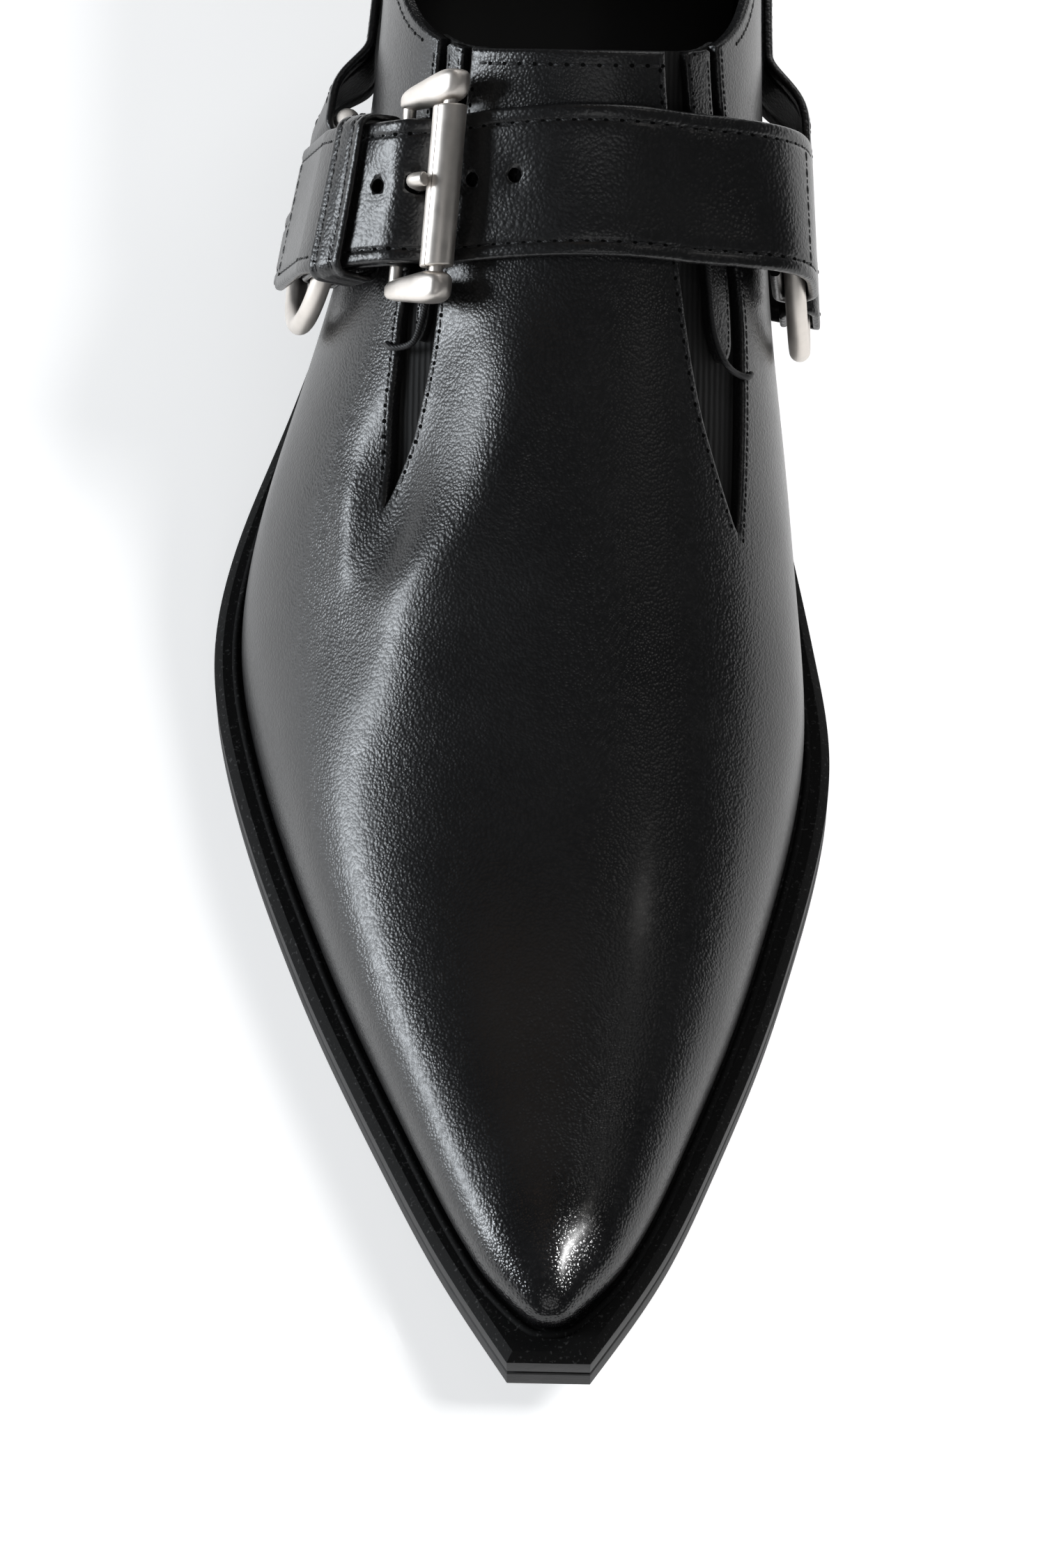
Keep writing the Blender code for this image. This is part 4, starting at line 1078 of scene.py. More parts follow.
def add_upper():
    """Quarters, vamp and tongue as one shell, open at collar, gores and foot."""
    front = front_columns()
    points, faces, kinds, count = [], [], [], 0

    def sheet(outer, inner):
        """Adds the two faces of a panel, and gives their vertex numbers."""
        nonlocal count
        size = outer.shape[0] * outer.shape[1]
        index = np.arange(size).reshape(outer.shape[:2])
        points.extend([outer.reshape(-1, 3), inner.reshape(-1, 3)])
        out, back = index + count, index + count + size
        for some, kind in ((grid_faces(out), 0), (grid_faces(back)[:, ::-1], 1)):
            faces.append(some)
            kinds.append(np.full(len(some), kind))
        count += 2 * size
        return out, back

    def rim(out, back):
        """Adds the edge between the two faces."""
        some = grid_faces(np.stack([out, back], 1))
        faces.append(some)
        kinds.append(np.zeros(len(some)))

    for side in SIDES:
        u, v, drop, gap = quarter_sheet(side, front)
        out, back = sheet(*panel(side, u, v, drop))
        rim(out[0], back[0])
        is_open = np.flatnonzero(gap > LEAST_OPEN)[-1] + 2
        rim(out[-1, :is_open], back[-1, :is_open])
    halves = {side: vamp_sheet(side, front) for side in SIDES}
    grids = {side: panel(side, *halves[side][:3]) for side in SIDES}
    outer, inner = (np.concatenate([grids[OUTER][i], grids[INNER][i][-2::-1]]) for i in (0, 1))
    out, back = sheet(outer, inner)
    rim(out[:, 0], back[:, 0])
    for side, row in ((OUTER, 0), (INNER, -1)):
        is_open = np.flatnonzero(halves[side][3] > LEAST_OPEN)[-1] + 2
        rim(out[row, :is_open], back[row, :is_open])
    points, faces, kinds = (np.concatenate(rows) for rows in (points, faces, kinds))
    settle(mesh_object("upper_leather", points, faces, [VAMP_LEATHER, LINING], kinds), "leather", "upper")


def upper_line(side, u, v):
    """Seam on the upper: points and normals."""
    points = last(side, u, v)
    return points + wrinkle(points)[:, None] * outward(side, u, v), outward(side, u, v)


def inset_seam(side, u, edge, inset):
    """Seam along an edge of the upper, a distance above or below it."""
    return seam(*upper_line(side, u, edge + inset / girth_scale(side, u, edge)))


def upper_seams():
    """Seams beside the gores, under the collar and along the throat."""
    seams, lines = [], []
    for side in SIDES:
        tip = GORE[side][-1][0]
        s = np.linspace(QUARTER_SEAM_FROM, tip + SEAM_TIP, 160)
        seams.append(inset_seam(side, column(s), gore_quarter[side](s), -GORE_SEAM))
        s = np.linspace(VAMP_SEAM_FROM, tip - SEAM_TIP, 160)
        seams.append(inset_seam(side, column(s), gore_vamp[side](s), GORE_SEAM))
        u = np.linspace(0, column(COLLAR_SEAM_TO), 260)
        seams.append(inset_seam(side, u, collar_v(side, u), -COLLAR_SEAM))
        share = np.linspace(0.06, 1, 80)
        start = throat_start(side, share)
        edge = gore_vamp[side](station(start)[0])
        v = edge + (1 - edge) * share
        lines.append(upper_line(side, start + COLLAR_SEAM / length_scale(side, start, v), v))
    seams.append(seam(*(np.concatenate([lines[0][i], lines[1][i][-2::-1]]) for i in (0, 1))))
    return seams


def patch(side, s, low, high, lifts, across):
    """Sheets of a patch on the upper between two v edges, one row per station."""
    share = np.linspace(0, 1, across)[None, :]
    v = low[:, None] + (high - low)[:, None] * share
    u = np.broadcast_to(column(s)[:, None], v.shape)
    crease = wrinkle(last(side, u, v))
    return [skin(side, u, v, crease + lift) for lift in lifts]


def tab_edges(side, s):
    """v of the two edges of a gore's tab before its end is rounded."""
    near, far = monotone(TAB[side], 1), monotone(TAB[side], 2)
    vamp = gore_vamp[side](s)
    across = vamp - gore_quarter[side](s)
    return vamp - across * far(s), vamp - across * near(s)


def trimmed(side, s, low, high):
    """The two v edges of a patch, kept under the collar's edge."""
    u = column(s)
    top = collar_v(side, u)
    return np.minimum(low, top), np.minimum(high, top)


def add_elastic(side):
    """Elastic gusset behind a V cut-out."""
    s = np.linspace(TAB_FROM, GORE[side][-1][0] + 3, 60)
    low, high = trimmed(side, s, gore_quarter[side](s) - GORE_MARGIN, gore_vamp[side](s) + GORE_MARGIN)
    keep = high - low > LEAST_WIDE
    top = -(WALL + GAP)
    sheets = patch(side, s[keep], low[keep], high[keep], (top - GORE_THICK, top), 16)
    name = SIDE_NAME[side]
    add_piece("elastic_" + name, slab(sheets), ELASTIC, "elastic", "gore_" + name)


def add_tab(side):
    """Round-ended leather tab on a gore, stitched along both edges."""
    name = SIDE_NAME[side]
    end = TAB_STATION[side]
    turn = np.linspace(0, math.pi / 2, 14)
    straight = np.linspace(TAB_FROM, end - TAB_ROUND, 50)[:-1]
    s = np.concatenate([straight, end - TAB_ROUND * (1 - np.sin(turn))])
    close = np.concatenate([np.ones(len(straight)), np.cos(turn)])
    low, high = tab_edges(side, s)
    middle, half = (low + high) / 2, (high - low) / 2 * close
    low, high = trimmed(side, s, middle - half, middle + half)
    keep = (high - low > LEAST_WIDE) | (close < 0.2)
    s, low, high = s[keep], low[keep], high[keep]
    share = np.concatenate([[0, 0.02, 0.06, 0.12], np.linspace(0.2, 0.8, 7), [0.88, 0.94, 0.98, 1]])
    v = low[:, None] + (high - low)[:, None] * share
    u = np.broadcast_to(column(s)[:, None], v.shape)
    width = (high - low) * girth_scale(side, column(s), low)
    away = np.minimum(share, 1 - share)[None, :] * width[:, None]
    drop = TAB_EDGE * edge_drop(np.minimum(away, (end - s)[:, None] + 0.2))
    crease = wrinkle(last(side, u, v))
    sheets = [skin(side, u, v, crease - WALL), skin(side, u, v, crease + TAB_LIFT + drop)]
    add_piece("tab_" + name, slab(sheets), VAMP_LEATHER, "leather", "gore_tab_" + name)

    seams = []
    fits = width > TAB_SEAM_ROOM
    u = column(s[fits])
    for edge, way in ((low, 1), (high, -1)):
        line = (edge + way * TAB_SEAM / girth_scale(side, column(s), edge))[fits]
        points = skin(side, u, line, np.full(len(u), TAB_LIFT))
        seams.append(seam(points, outward(side, u, line), FINE_PITCH))
    add_stitches("stitches_tab_" + name, seams, FINE_THREAD, TAB_NEEDLE)


def add_tab_cord(side):
    """Cord along a tab and across to the quarter."""
    end = TAB_STATION[side]
    edge = gore_quarter[side](end)
    scale = girth_scale(side, column(end), edge)
    route = []
    for back, share in ((16.0, 1.0), (9.0, 1.0), (4.0, 0.98), (1.2, 0.8), (-0.4, 0.45)):
        low, high = (v[0] for v in tab_edges(side, np.array([end - back])))
        route.append(skin(side, column(end - back), low + (high - low) * share, 0.15))
    low = tab_edges(side, np.array([end]))[0][0]
    for ahead, v, lift in ((0.4, (low + edge) / 2, 0.2), (-0.2, edge - 0.6 / scale, 0.55),
                           (-1.6, edge - 2.4 / scale, 0.3)):
        route.append(skin(side, column(end + ahead), v, lift))
    cord = rounded_tube(smooth_path(route, 60), CORD_RADIUS, 10, 0.3)
    add_piece("tab_cord_" + SIDE_NAME[side], cord, THREAD, "leather")


# Straps
def measure_strap(side):
    """Length along the strap's centre line, and the w coordinate it belongs to."""
    w = np.linspace(0, 0.95, 160)
    line = last(side, column(STRAP_TOP - STRAP_SWEEP[side] * w ** 2), 1 - w)
    return run_length(line), w


STRAP_RUN = {side: measure_strap(side) for side in SIDES}


def strap_point(a, b, h):
    """Point of strap space: a from the crown, minus on the outer side, b to the toe, h up."""
    side = OUTER if a < 0 else INNER
    w = np.interp(abs(a), *STRAP_RUN[side])
    u, v = column(STRAP_TOP - STRAP_SWEEP[side] * w ** 2), 1 - w
    u = u + np.asarray(b, float) / length_scale(side, u, v)
    return skin(side, u, np.full(u.shape, v), np.full(u.shape, h))


def measure_heel(side):
    """Station and height of a ring's centre, and the length from it to the back of the heel."""
    _, y, z = strap_point(side * RING_AT[side], 0.0, 0.0)
    s = SOLE_LENGTH / 2 - y
    u = np.linspace(column(s), 0, 60)
    line = last(side, u, level(side, station(u)[0], np.linspace(z, HEEL_STRAP_BACK, 60)))
    return s, z, np.linalg.norm(np.diff(line, axis=0), axis=1).sum()


def ring_frame(side):
    """Centre of a ring, its outward normal and the way from it along the strap to the crown."""
    at = side * RING_AT[side]
    centre = strap_point(at, 0.0, RING_LIFT[side])
    high = at - side * RING_LEAN
    normal = strap_point(high, 0.0, 1.0) - strap_point(high, 0.0, 0.0)
    up = strap_point(at - side * 8.0, 0.0, 0.0) - strap_point(at, 0.0, 0.0)
    return centre, normal, unit(up - normal * (up @ normal))


HEEL_RUN = {side: measure_heel(side) for side in SIDES}
RINGS = {side: ring_frame(side) for side in SIDES}


def turned_row(a, b, h):
    """Row of the strap's outer part, which turns square to the ring as it nears it."""
    _, normal, up = RINGS[OUTER]
    across = np.cross(normal, up)
    across = across * np.sign(across @ TO_TOE)
    row = strap_point(-a, b, h)
    square = strap_point(-a, 0.0, h) + np.asarray(b)[..., None] * across
    return row + (square - row) * eased((a - TURN_FROM) / (TURN_TO - TURN_FROM))


def heel_point(side, d, b, h):
    """Point of heel strap space: d back from the ring's centre, b up, h out."""
    s, z, reach = HEEL_RUN[side]
    u = column(s) * np.clip(1 - d / reach, 0, 1)
    at = station(u)[0]
    v = level(side, at, HEEL_STRAP_BACK + (z - HEEL_STRAP_BACK) * (1 - d / reach) ** 2)
    v = v + np.asarray(b, float) / girth_scale(side, u, v)
    return skin(side, np.full(v.shape, u), v, np.full(v.shape, h))


def ring_rows(side, toward, facing, path, b):
    """Rows of a strap in a ring's own plane: path holds distance from its centre and height."""
    centre, normal, _ = RINGS[side]
    across = np.cross(normal, toward)
    across = across * np.sign(across @ facing)
    reach, height = np.array(path).T
    rows = centre + reach[:, None, None] * toward + height[:, None, None] * normal
    return rows + b[None, :, None] * across


def fold_path(width, thick, leg):
    """Mid line of a strap end: its inner leg, then round the wire to the outer side."""
    axis = math.sqrt((RING_RADIUS - RING_WIRE) ** 2 - width ** 2 / 4) + RING_WIRE
    radius = RING_WIRE + GAP + thick / 2
    turn = np.linspace(-math.pi / 2, math.pi / 2, 24)
    path = [(axis + leg * k, -radius) for k in np.linspace(1, 0, 12)[:-1]]
    return path + [(axis - radius * math.cos(t), radius * math.sin(t)) for t in turn], radius


def leave_ring(side, toward, facing, away, height, lie, b, on_upper):
    """Rows that leave a ring's plane and come to lie on the upper, given by distance and height."""
    ring = ring_rows(side, toward, facing, [(d, height) for d in away], b)
    share = eased(np.linspace(0, 1, len(away)))
    first = RING_LIFT[side] + height
    surface = np.array([on_upper(d, h) for d, h in zip(away, first + (lie - first) * share)])
    return list(ring + (surface - ring) * share[:, None, None])


def strap_across(width, inset=SEAM_INSET):
    """b values across a strap: close at its round edges and at its seams, and the seams' columns."""
    half = width / 2
    edge = half - np.array([0.0, 0.03, 0.12, 0.28, 0.5, 0.8, 1.2])
    groove = half - inset + GROOVE_HALF * np.array([1.0, 0.6, 0.3, 0.0, -0.3, -0.6, -1.0])
    inner = np.linspace(0, half - inset - GROOVE_HALF, 6)[:-1]
    right = np.unique(np.concatenate([edge, groove, inner]).round(6))
    b = np.concatenate([-right[:0:-1], right])
    seams = [int(np.argmin(np.abs(b - way * (half - inset)))) for way in (-1, 1)]
    return b, seams


def ribbon(rows, b, width, thick, grooves=True):
    """Round-edged strap about a grid of middle points: sheets, and normals of its top."""
    rows = np.asarray(rows, float)
    along = np.gradient(rows, axis=0)
    across = np.gradient(rows, axis=1)
    normal = unit(np.cross(along, across))
    edge = np.clip((np.abs(b) - (width / 2 - STRAP_EDGE * thick)) / (STRAP_EDGE * thick), 0, 1)
    body = thick / 2 * (1 - edge ** 3.2) ** (1 / 2.6)
    top = body.copy()
    if grooves:
        away = np.abs(np.abs(b) - (width / 2 - SEAM_INSET)) / GROOVE_HALF
        top -= GROOVE_DEEP * np.cos(np.clip(away, 0, 1) * math.pi / 2) ** 2
    return [rows - normal * body[None, :, None], rows + normal * top[None, :, None]], normal


MIDFOOT = place(0, 140, 30)
HEEL_MIDDLE = place(0, 90, 60)


def facing_out(sheets, normal, centre):
    """Sheets and normals with the top on the side away from a point inside the shoe."""
    if ((sheets[1] - sheets[0]) * (sheets[0] - centre)).sum() < 0:
        return [sheets[1], sheets[0]], -normal
    return sheets, normal


def strap_rows(b):
    """Middle rows of the instep strap from the inner ring's fold to its tail, and the fold's count."""
    up = RINGS[INNER][2]
    path, height = fold_path(STRAP_WIDE, STRAP_THICK, STRAP_RETURN)
    rows = list(ring_rows(INNER, up, TO_TOE, path, b))
    reach = np.linspace(*STRAP_JOIN, 30)
    rows += leave_ring(INNER, up, TO_TOE, reach, height, STRAP_LIE, b,
                       lambda d, h: strap_point(RING_AT[INNER] - d, b, h))
    run = np.arange(STRAP_JOIN[1] - RING_AT[INNER] + STRAP_STEP, TURN_TO - 0.4, STRAP_STEP)
    rows += [turned_row(a, b, layer_lines[0](a)) for a in run]
    over = RING_WIRE + GAP + BILLET_THICK + GAP + STRAP_THICK / 2
    tail = np.linspace(TURN_TO + 1.6, STRAP_END, 26)
    rows += list(ring_rows(OUTER, RINGS[OUTER][2], TO_TOE, [(RING_AT[OUTER] - a, over) for a in tail], b))
    return np.array(rows), len(path)


def rod_cutter(start, end, radius, sides=24):
    """Cylinder between two points, as an object to cut with."""
    return mesh_object("cutter", *tube(np.linspace(start, end, 2), radius, sides), [NEEDLE_SHADE])


def bored(obj, cutters):
    """Takes the cutters out of a piece and removes them."""
    for cutter in cutters:
        hole = obj.modifiers.new("hole", "BOOLEAN")
        hole.solver = "EXACT"
        hole.object = cutter
    bpy.context.view_layer.update()
    mesh = bpy.data.meshes.new_from_object(obj.evaluated_get(bpy.context.evaluated_depsgraph_get()))
    obj.modifiers.clear()
    obj.data = mesh
    for cutter in cutters:
        bpy.data.objects.remove(cutter)
    return obj


def add_instep_strap():
    """Strap over the instep with its holes and seams."""
    b, seam_columns = strap_across(STRAP_WIDE)
    rows, fold = strap_rows(b)
    sheets, normal = ribbon(rows, b, STRAP_WIDE, STRAP_THICK)
    sheets, normal = facing_out(sheets, normal, MIDFOOT)
    for a in HOLES + (PRONG_AT,):
        centre = strap_point(-a, HOLE_SIDE, layer_lines[0](a))
        away = np.linalg.norm(rows - centre, axis=-1)
        sheets[1] = sheets[1] - normal * (DIMPLE_DEEP * np.exp(-(away / DIMPLE_HALF) ** 2))[..., None]
    strap = mesh_object("strap_leather_instep", *slab(sheets), [STRAP_LEATHER, NEEDLE_SHADE])
    cutters = []
    for a in HOLES + (PRONG_AT,):
        radius = PRONG_HOLE * PRONG_HOLE_SHARE if a == PRONG_AT else HOLE_RADIUS
        heights = layer_lines[0](a) + HOLE_CUT * STRAP_THICK * np.array([-1, 1])
        cutters.append(rod_cutter(*(strap_point(-a, HOLE_SIDE, h) for h in heights), radius))
    settle(bored(strap, cutters), "leather", "instep_strap")

    seams = []
    for j in seam_columns:
        seams.append(seam(sheets[1][fold + 2:, j], normal[fold + 2:, j]))
    for row in (fold + 8, len(rows) - 3):
        inside = slice(seam_columns[0], seam_columns[1] + 1)
        seams.append(seam(sheets[1][row, inside], normal[row, inside]))
    add_stitches("stitches_strap", seams)


def add_billet():
    """Flat loop of leather that holds the outer ring and the buckle's bar."""
    b, _ = strap_across(STRAP_WIDE)
    up = RINGS[OUTER][2]
    path, height = fold_path(STRAP_WIDE, BILLET_THICK, BILLET_RETURN)
    rows = [turned_row(a, b, layer_lines[2](a)) for a in np.linspace(BAR_AT + 4.0, TURN_TO, 12)]
    rows += list(ring_rows(OUTER, up, TO_TOE, path[6:], b))
    rows += list(ring_rows(OUTER, up, TO_TOE, [(d, height) for d in np.linspace(14.0, RING_RADIUS, 5)], b))
    rows += [turned_row(a, b, layer_lines[1](a)) for a in np.linspace(TURN_TO - 1.5, BAR_AT + 1.0, 14)]
    radius = BAR_RADIUS + GAP + BAR_SLACK + BILLET_THICK / 2
    for turn in np.linspace(math.pi / 2, -math.pi / 2, 16):
        rows.append(strap_point(-(BAR_AT - radius * math.cos(turn)), b, BAR_LIFT + radius * math.sin(turn)))
    rows.append(strap_point(-(BAR_AT + 2.5), b, BAR_LIFT - radius))
    sheets, _ = ribbon(rows, b, STRAP_WIDE, BILLET_THICK, False)
    billet = mesh_object("strap_leather_billet", *slab(sheets), [STRAP_LEATHER, NEEDLE_SHADE])
    low = strap_point(-(BAR_AT - 4.0), HOLE_SIDE, BAR_LIFT)
    high = strap_point(-(BAR_AT + 2.0), HOLE_SIDE, BAR_LIFT + 2.2)
    settle(bored(billet, [rod_cutter(low, high, 2 * PRONG_RADIUS)]), "leather", "buckle_billet")


def add_keeper():
    """Two-ply leather loop round the strap and the billet, stitched at both edges."""
    slack, corner = 2 * GAP + KEEPER_THICK / 2, KEEPER_CORNER
    half = STRAP_WIDE / 2 + slack
    across, seam_columns = strap_across(KEEPER_WIDE, KEEPER_SEAM)
    rows = []
    for offset in across:
        a = KEEPER_AT + offset
        high = layer_lines[0](a) + STRAP_THICK / 2 + slack
        loop = []
        for cb, ch, first in ((1, 1, 0), (-1, 1, 1), (-1, -1, 2), (1, -1, 3)):
            mid_b = cb * (half - corner)
            mid_h = high - corner if ch > 0 else KEEPER_LIE + corner
            for turn in np.linspace(first, first + 1, 10) * math.pi / 2:
                loop.append((mid_b + corner * math.cos(turn), mid_h + corner * math.sin(turn)))
            if first in (0, 2):
                for t in np.linspace(0, 1, 16)[1:-1]:
                    loop.append((mid_b * (1 - 2 * t), high if ch > 0 else KEEPER_LIE))
        rows.append([turned_row(a, b, h) for b, h in loop])
    middle = np.swapaxes(np.array(rows), 0, 1)
    loop_way = np.roll(middle, -1, 0) - np.roll(middle, 1, 0)
    normal = unit(np.cross(loop_way, np.gradient(middle, axis=1)))
    centre = middle.reshape(-1, 3).mean(0)
    normal = normal * np.sign((normal * (middle - centre)).sum())
    edge = np.clip((np.abs(across) - (KEEPER_WIDE / 2 - KEEPER_EDGE)) / KEEPER_EDGE, 0, 1)
    body = KEEPER_THICK / 2 * (1 - edge ** 3) ** (1 / 2.6)
    groove = np.abs(np.abs(across) - (KEEPER_WIDE / 2 - KEEPER_SEAM)) / GROOVE_HALF
    top = body - KEEPER_GROOVE * GROOVE_DEEP * np.cos(np.clip(groove, 0, 1) * math.pi / 2) ** 2
    sheets = [middle - normal * body[None, :, None], middle + normal * top[None, :, None]]
    add_piece("keeper_leather", slab(sheets, closed=True), STRAP_LEATHER, "leather", "keeper")
    shown = slice(4, 32)
    seams = [seam(sheets[1][shown, j], normal[shown, j], FINE_PITCH) for j in seam_columns]
    add_stitches("stitches_keeper", seams, FINE_THREAD, KEEPER_NEEDLE)


def add_sewn_strap(name, stitches, node, sheets, normal, shown, seam_columns):
    """Strap with a seam along both edges, over the rows that show."""
    add_piece("strap_leather_" + name, slab(sheets), STRAP_LEATHER, "leather", node)
    seams = [seam(sheets[1][shown, j], normal[shown, j]) for j in seam_columns]
    add_stitches("stitches_" + stitches, seams)


def add_heel_strap():
    """From ring to ring round the back of the heel."""
    b, seam_columns = strap_across(HEEL_STRAP_WIDE)
    lie = HEEL_STRAP_THICK / 2 + 3 * GAP
    halves, folds = [], []
    for side in SIDES:
        _, normal, _ = RINGS[side]
        reach = HEEL_RUN[side][2]
        toward = heel_point(side, 12.0, np.zeros(1), 0.0)[0] - heel_point(side, 0.0, np.zeros(1), 0.0)[0]
        toward = unit(toward - normal * (toward @ normal))
        path, height = fold_path(HEEL_STRAP_WIDE, HEEL_STRAP_THICK, HEEL_STRAP_RETURN)
        rows = list(ring_rows(side, toward, UPWARD, path, b))
        folds.append(len(rows))
        away = np.linspace(*HEEL_STRAP_JOIN, 24)
        rows += leave_ring(side, toward, UPWARD, away, height, lie, b,
                           lambda d, h: heel_point(side, d, b, h))
        rows += [heel_point(side, d, b, lie) for d in np.linspace(away[-1], reach, 60)[1:]]
        halves.append(rows)
    rows = np.array(halves[0] + halves[1][-2::-1])
    sheets, normal = ribbon(rows, b, HEEL_STRAP_WIDE, HEEL_STRAP_THICK)
    shown = slice(folds[0] + 2, len(rows) - folds[1] - 2)
    sheets, normal = facing_out(sheets, normal, HEEL_MIDDLE)
    add_sewn_strap("heel", "heel_strap", "heel_strap", sheets, normal, shown, seam_columns)


def strap_foot(side, start, toward):
    """Where an arch strap meets the welt, a gap outside the upper."""
    foot = []
    for point in start:
        s = SOLE_LENGTH / 2 - (point[1] + toward[1] * 20.0)
        v = level(side, s, seat_z(s) + 2.0)
        foot.append(skin(side, column(s), v, GAP + ARCH_STRAP_THICK / 2))
    return np.array(foot)


def add_arch_strap(side):
    """From a ring down to the waist of the sole."""
    name = SIDE_NAME[side]
    _, normal, up = RINGS[side]
    front = np.cross(normal, up)
    front = front * -np.sign(front[1])
    turn = math.radians(ARCH_STRAP_TURN)
    toward = math.cos(turn) * up + math.sin(turn) * front
    b, seam_columns = strap_across(ARCH_STRAP_WIDE)
    path, height = fold_path(ARCH_STRAP_WIDE, ARCH_STRAP_THICK, ARCH_STRAP_RETURN)
    rows = list(ring_rows(side, toward, TO_TOE, path, b))
    ends = np.linspace(path[-1][0] + 0.5, RING_RADIUS + 2 * RING_WIRE, 5)
    rows += list(ring_rows(side, toward, TO_TOE, [(d, height) for d in ends], b))
    foot = strap_foot(side, rows[-1], toward)
    away = np.linspace(0, 1, 25)[1:, None, None]
    rows += list(np.array(rows[-1])[None] * (1 - away) + foot[None] * away)
    sheets, out = ribbon(rows, b, ARCH_STRAP_WIDE, ARCH_STRAP_THICK)
    shown = slice(len(path) + 2, len(rows))
    sheets, out = facing_out(sheets, out, MIDFOOT)
    add_sewn_strap("arch_" + name, "arch_" + name, "arch_strap_" + name, sheets, out, shown, seam_columns)


# Metal
def add_rings():
    """Round wire rings at the strap's two ends."""
    for side in SIDES:
        centre, normal, up = RINGS[side]
        turn = around(112)[:, None]
        path = centre + RING_RADIUS * (np.cos(turn) * up + np.sin(turn) * np.cross(normal, up))
        name = "ring_" + SIDE_NAME[side]
        add_piece("nickel_" + name, tube(path, RING_WIRE, 20, closed=True), NICKEL, "nickel", name)


def pillow(size, taper, rows=28, sides=40):
    """Round-edged bar that slims towards its far end, as points and faces in millimetres."""
    along = np.linspace(-1, 1, rows)
    girth = np.clip(1 - np.abs(along) ** 4.5, 0, 1) ** (1 / 2.4)
    girth = (girth * (1 + (taper - 1) * eased((along + 1) / 2)))[:, None]
    turn = around(sides)
    wide, tall = (np.sign(wave) * np.abs(wave) ** ARM_SQUARE for wave in (np.cos(turn), np.sin(turn)))
    points = np.stack(np.broadcast_arrays(along[:, None] * size[0] / 2, girth * wide * size[1] / 2,
                                          girth * tall * size[2] / 2), -1)
    return points.reshape(-1, 3), grid_faces(ring_index(rows, sides)).tolist()


def buckle_axes():
    """Middles of the axle and the bar, the way along them, the way from axle to bar, and up."""
    half = STRAP_WIDE / 2
    ends = [strap_point(-ROLLER_AT, b, ROLLER_LIFT) for b in (-half, half)]
    axle = (ends[0] + ends[1]) / 2
    across = unit(ends[1] - ends[0])
    bar = (strap_point(-BAR_AT, -half, BAR_LIFT) + strap_point(-BAR_AT, half, BAR_LIFT)) / 2
    back = unit(bar - axle)
    over = unit(np.cross(across, back))
    up = strap_point(-ROLLER_AT, 0.0, 1.0) - strap_point(-ROLLER_AT, 0.0, 0.0)
    return axle, bar, across, back, over * np.sign(over @ up)


BUCKLE = buckle_axes()


def add_buckle_frame():
    """Axle, bar and two pillow arms."""
    axle, bar, across, back, over = BUCKLE
    inside = STRAP_WIDE / 2 + ARM_CLEAR
    span = across * (inside + ARM_WIDE / 2)
    length = float(np.linalg.norm(bar - axle)) + ARM_BACK + BAR_RADIUS + ARM_END
    parts = []
    for middle, radius in ((axle, AXLE_RADIUS), (bar, BAR_RADIUS)):
        parts.append(tube(np.linspace(middle - span, middle + span, 2), radius, 24))
    points, faces = pillow((length, ARM_WIDE, ARM_TALL), ARM_TAPER)
    slim = 1 + (ARM_TAPER - 1) * (points[:, 0] / length + 0.5)
    centre = axle + back * (length / 2 - ARM_BACK)
    for way in (-1, 1):
        sideways = way * (inside + ARM_WIDE * slim / 2) + points[:, 1]
        spots = centre + points[:, :1] * back + sideways[:, None] * across + points[:, 2:] * over
        parts.append((spots, faces))
    add_piece("nickel_buckle_frame", merged(parts), NICKEL, "nickel", "buckle_frame", sharp=60.0)


def add_buckle_roller():
    """Rolled tube on the axle, with its seam and eased ends."""
    axle, _, across, back, over = BUCKLE
    turn = math.radians(ROLLER_SEAM_AT) + np.linspace(ROLLER_SEAM, 2 * math.pi - ROLLER_SEAM, 64)
    lip = np.array([0.0, 0.25, 0.6, 1.0])
    long = STRAP_WIDE / 2 + ROLLER_OVER
    ends = np.concatenate([-long + ROLLER_LIP * lip, long - ROLLER_LIP * lip[::-1]])
    round_off = ROLLER_LIP * (1 - np.sqrt(np.clip(1 - (1 - lip) ** 2, 0, 1)))
    outer = ROLLER_RADIUS - np.concatenate([round_off, round_off[::-1]])
    curl = ROLLER_CURL * np.exp(-((np.arange(len(turn)) / ROLLER_CURL_STEPS) ** 2))
    curl = curl + curl[::-1]
    ring = np.cos(turn)[:, None, None] * back + np.sin(turn)[:, None, None] * over
    sheets = []
    for radius in (np.full(len(ends), ROLLER_BORE), outer):
        size = radius[None, :] - curl[:, None]
        sheets.append(axle + size[..., None] * ring + ends[None, :, None] * across)
    add_piece("nickel_buckle_roller", slab(sheets), NICKEL, "nickel", "buckle_roller")


def add_buckle_prong():
    """Prong from the bar up through the strap and over the roller."""
    top = ROLLER_LIFT + ROLLER_RADIUS + PRONG_RADIUS + 3 * GAP
    route = [strap_point(-(ROLLER_AT + a), HOLE_SIDE, h) for a, h in PRONG + ((2.2, top - 0.2), (0.6, top))]
    prong = rounded_tube(smooth_path(route, 40), PRONG_RADIUS + PRONG_SWELL, 20, 0.25)
    add_piece("nickel_buckle_prong", prong, NICKEL, "nickel", "buckle_prong")


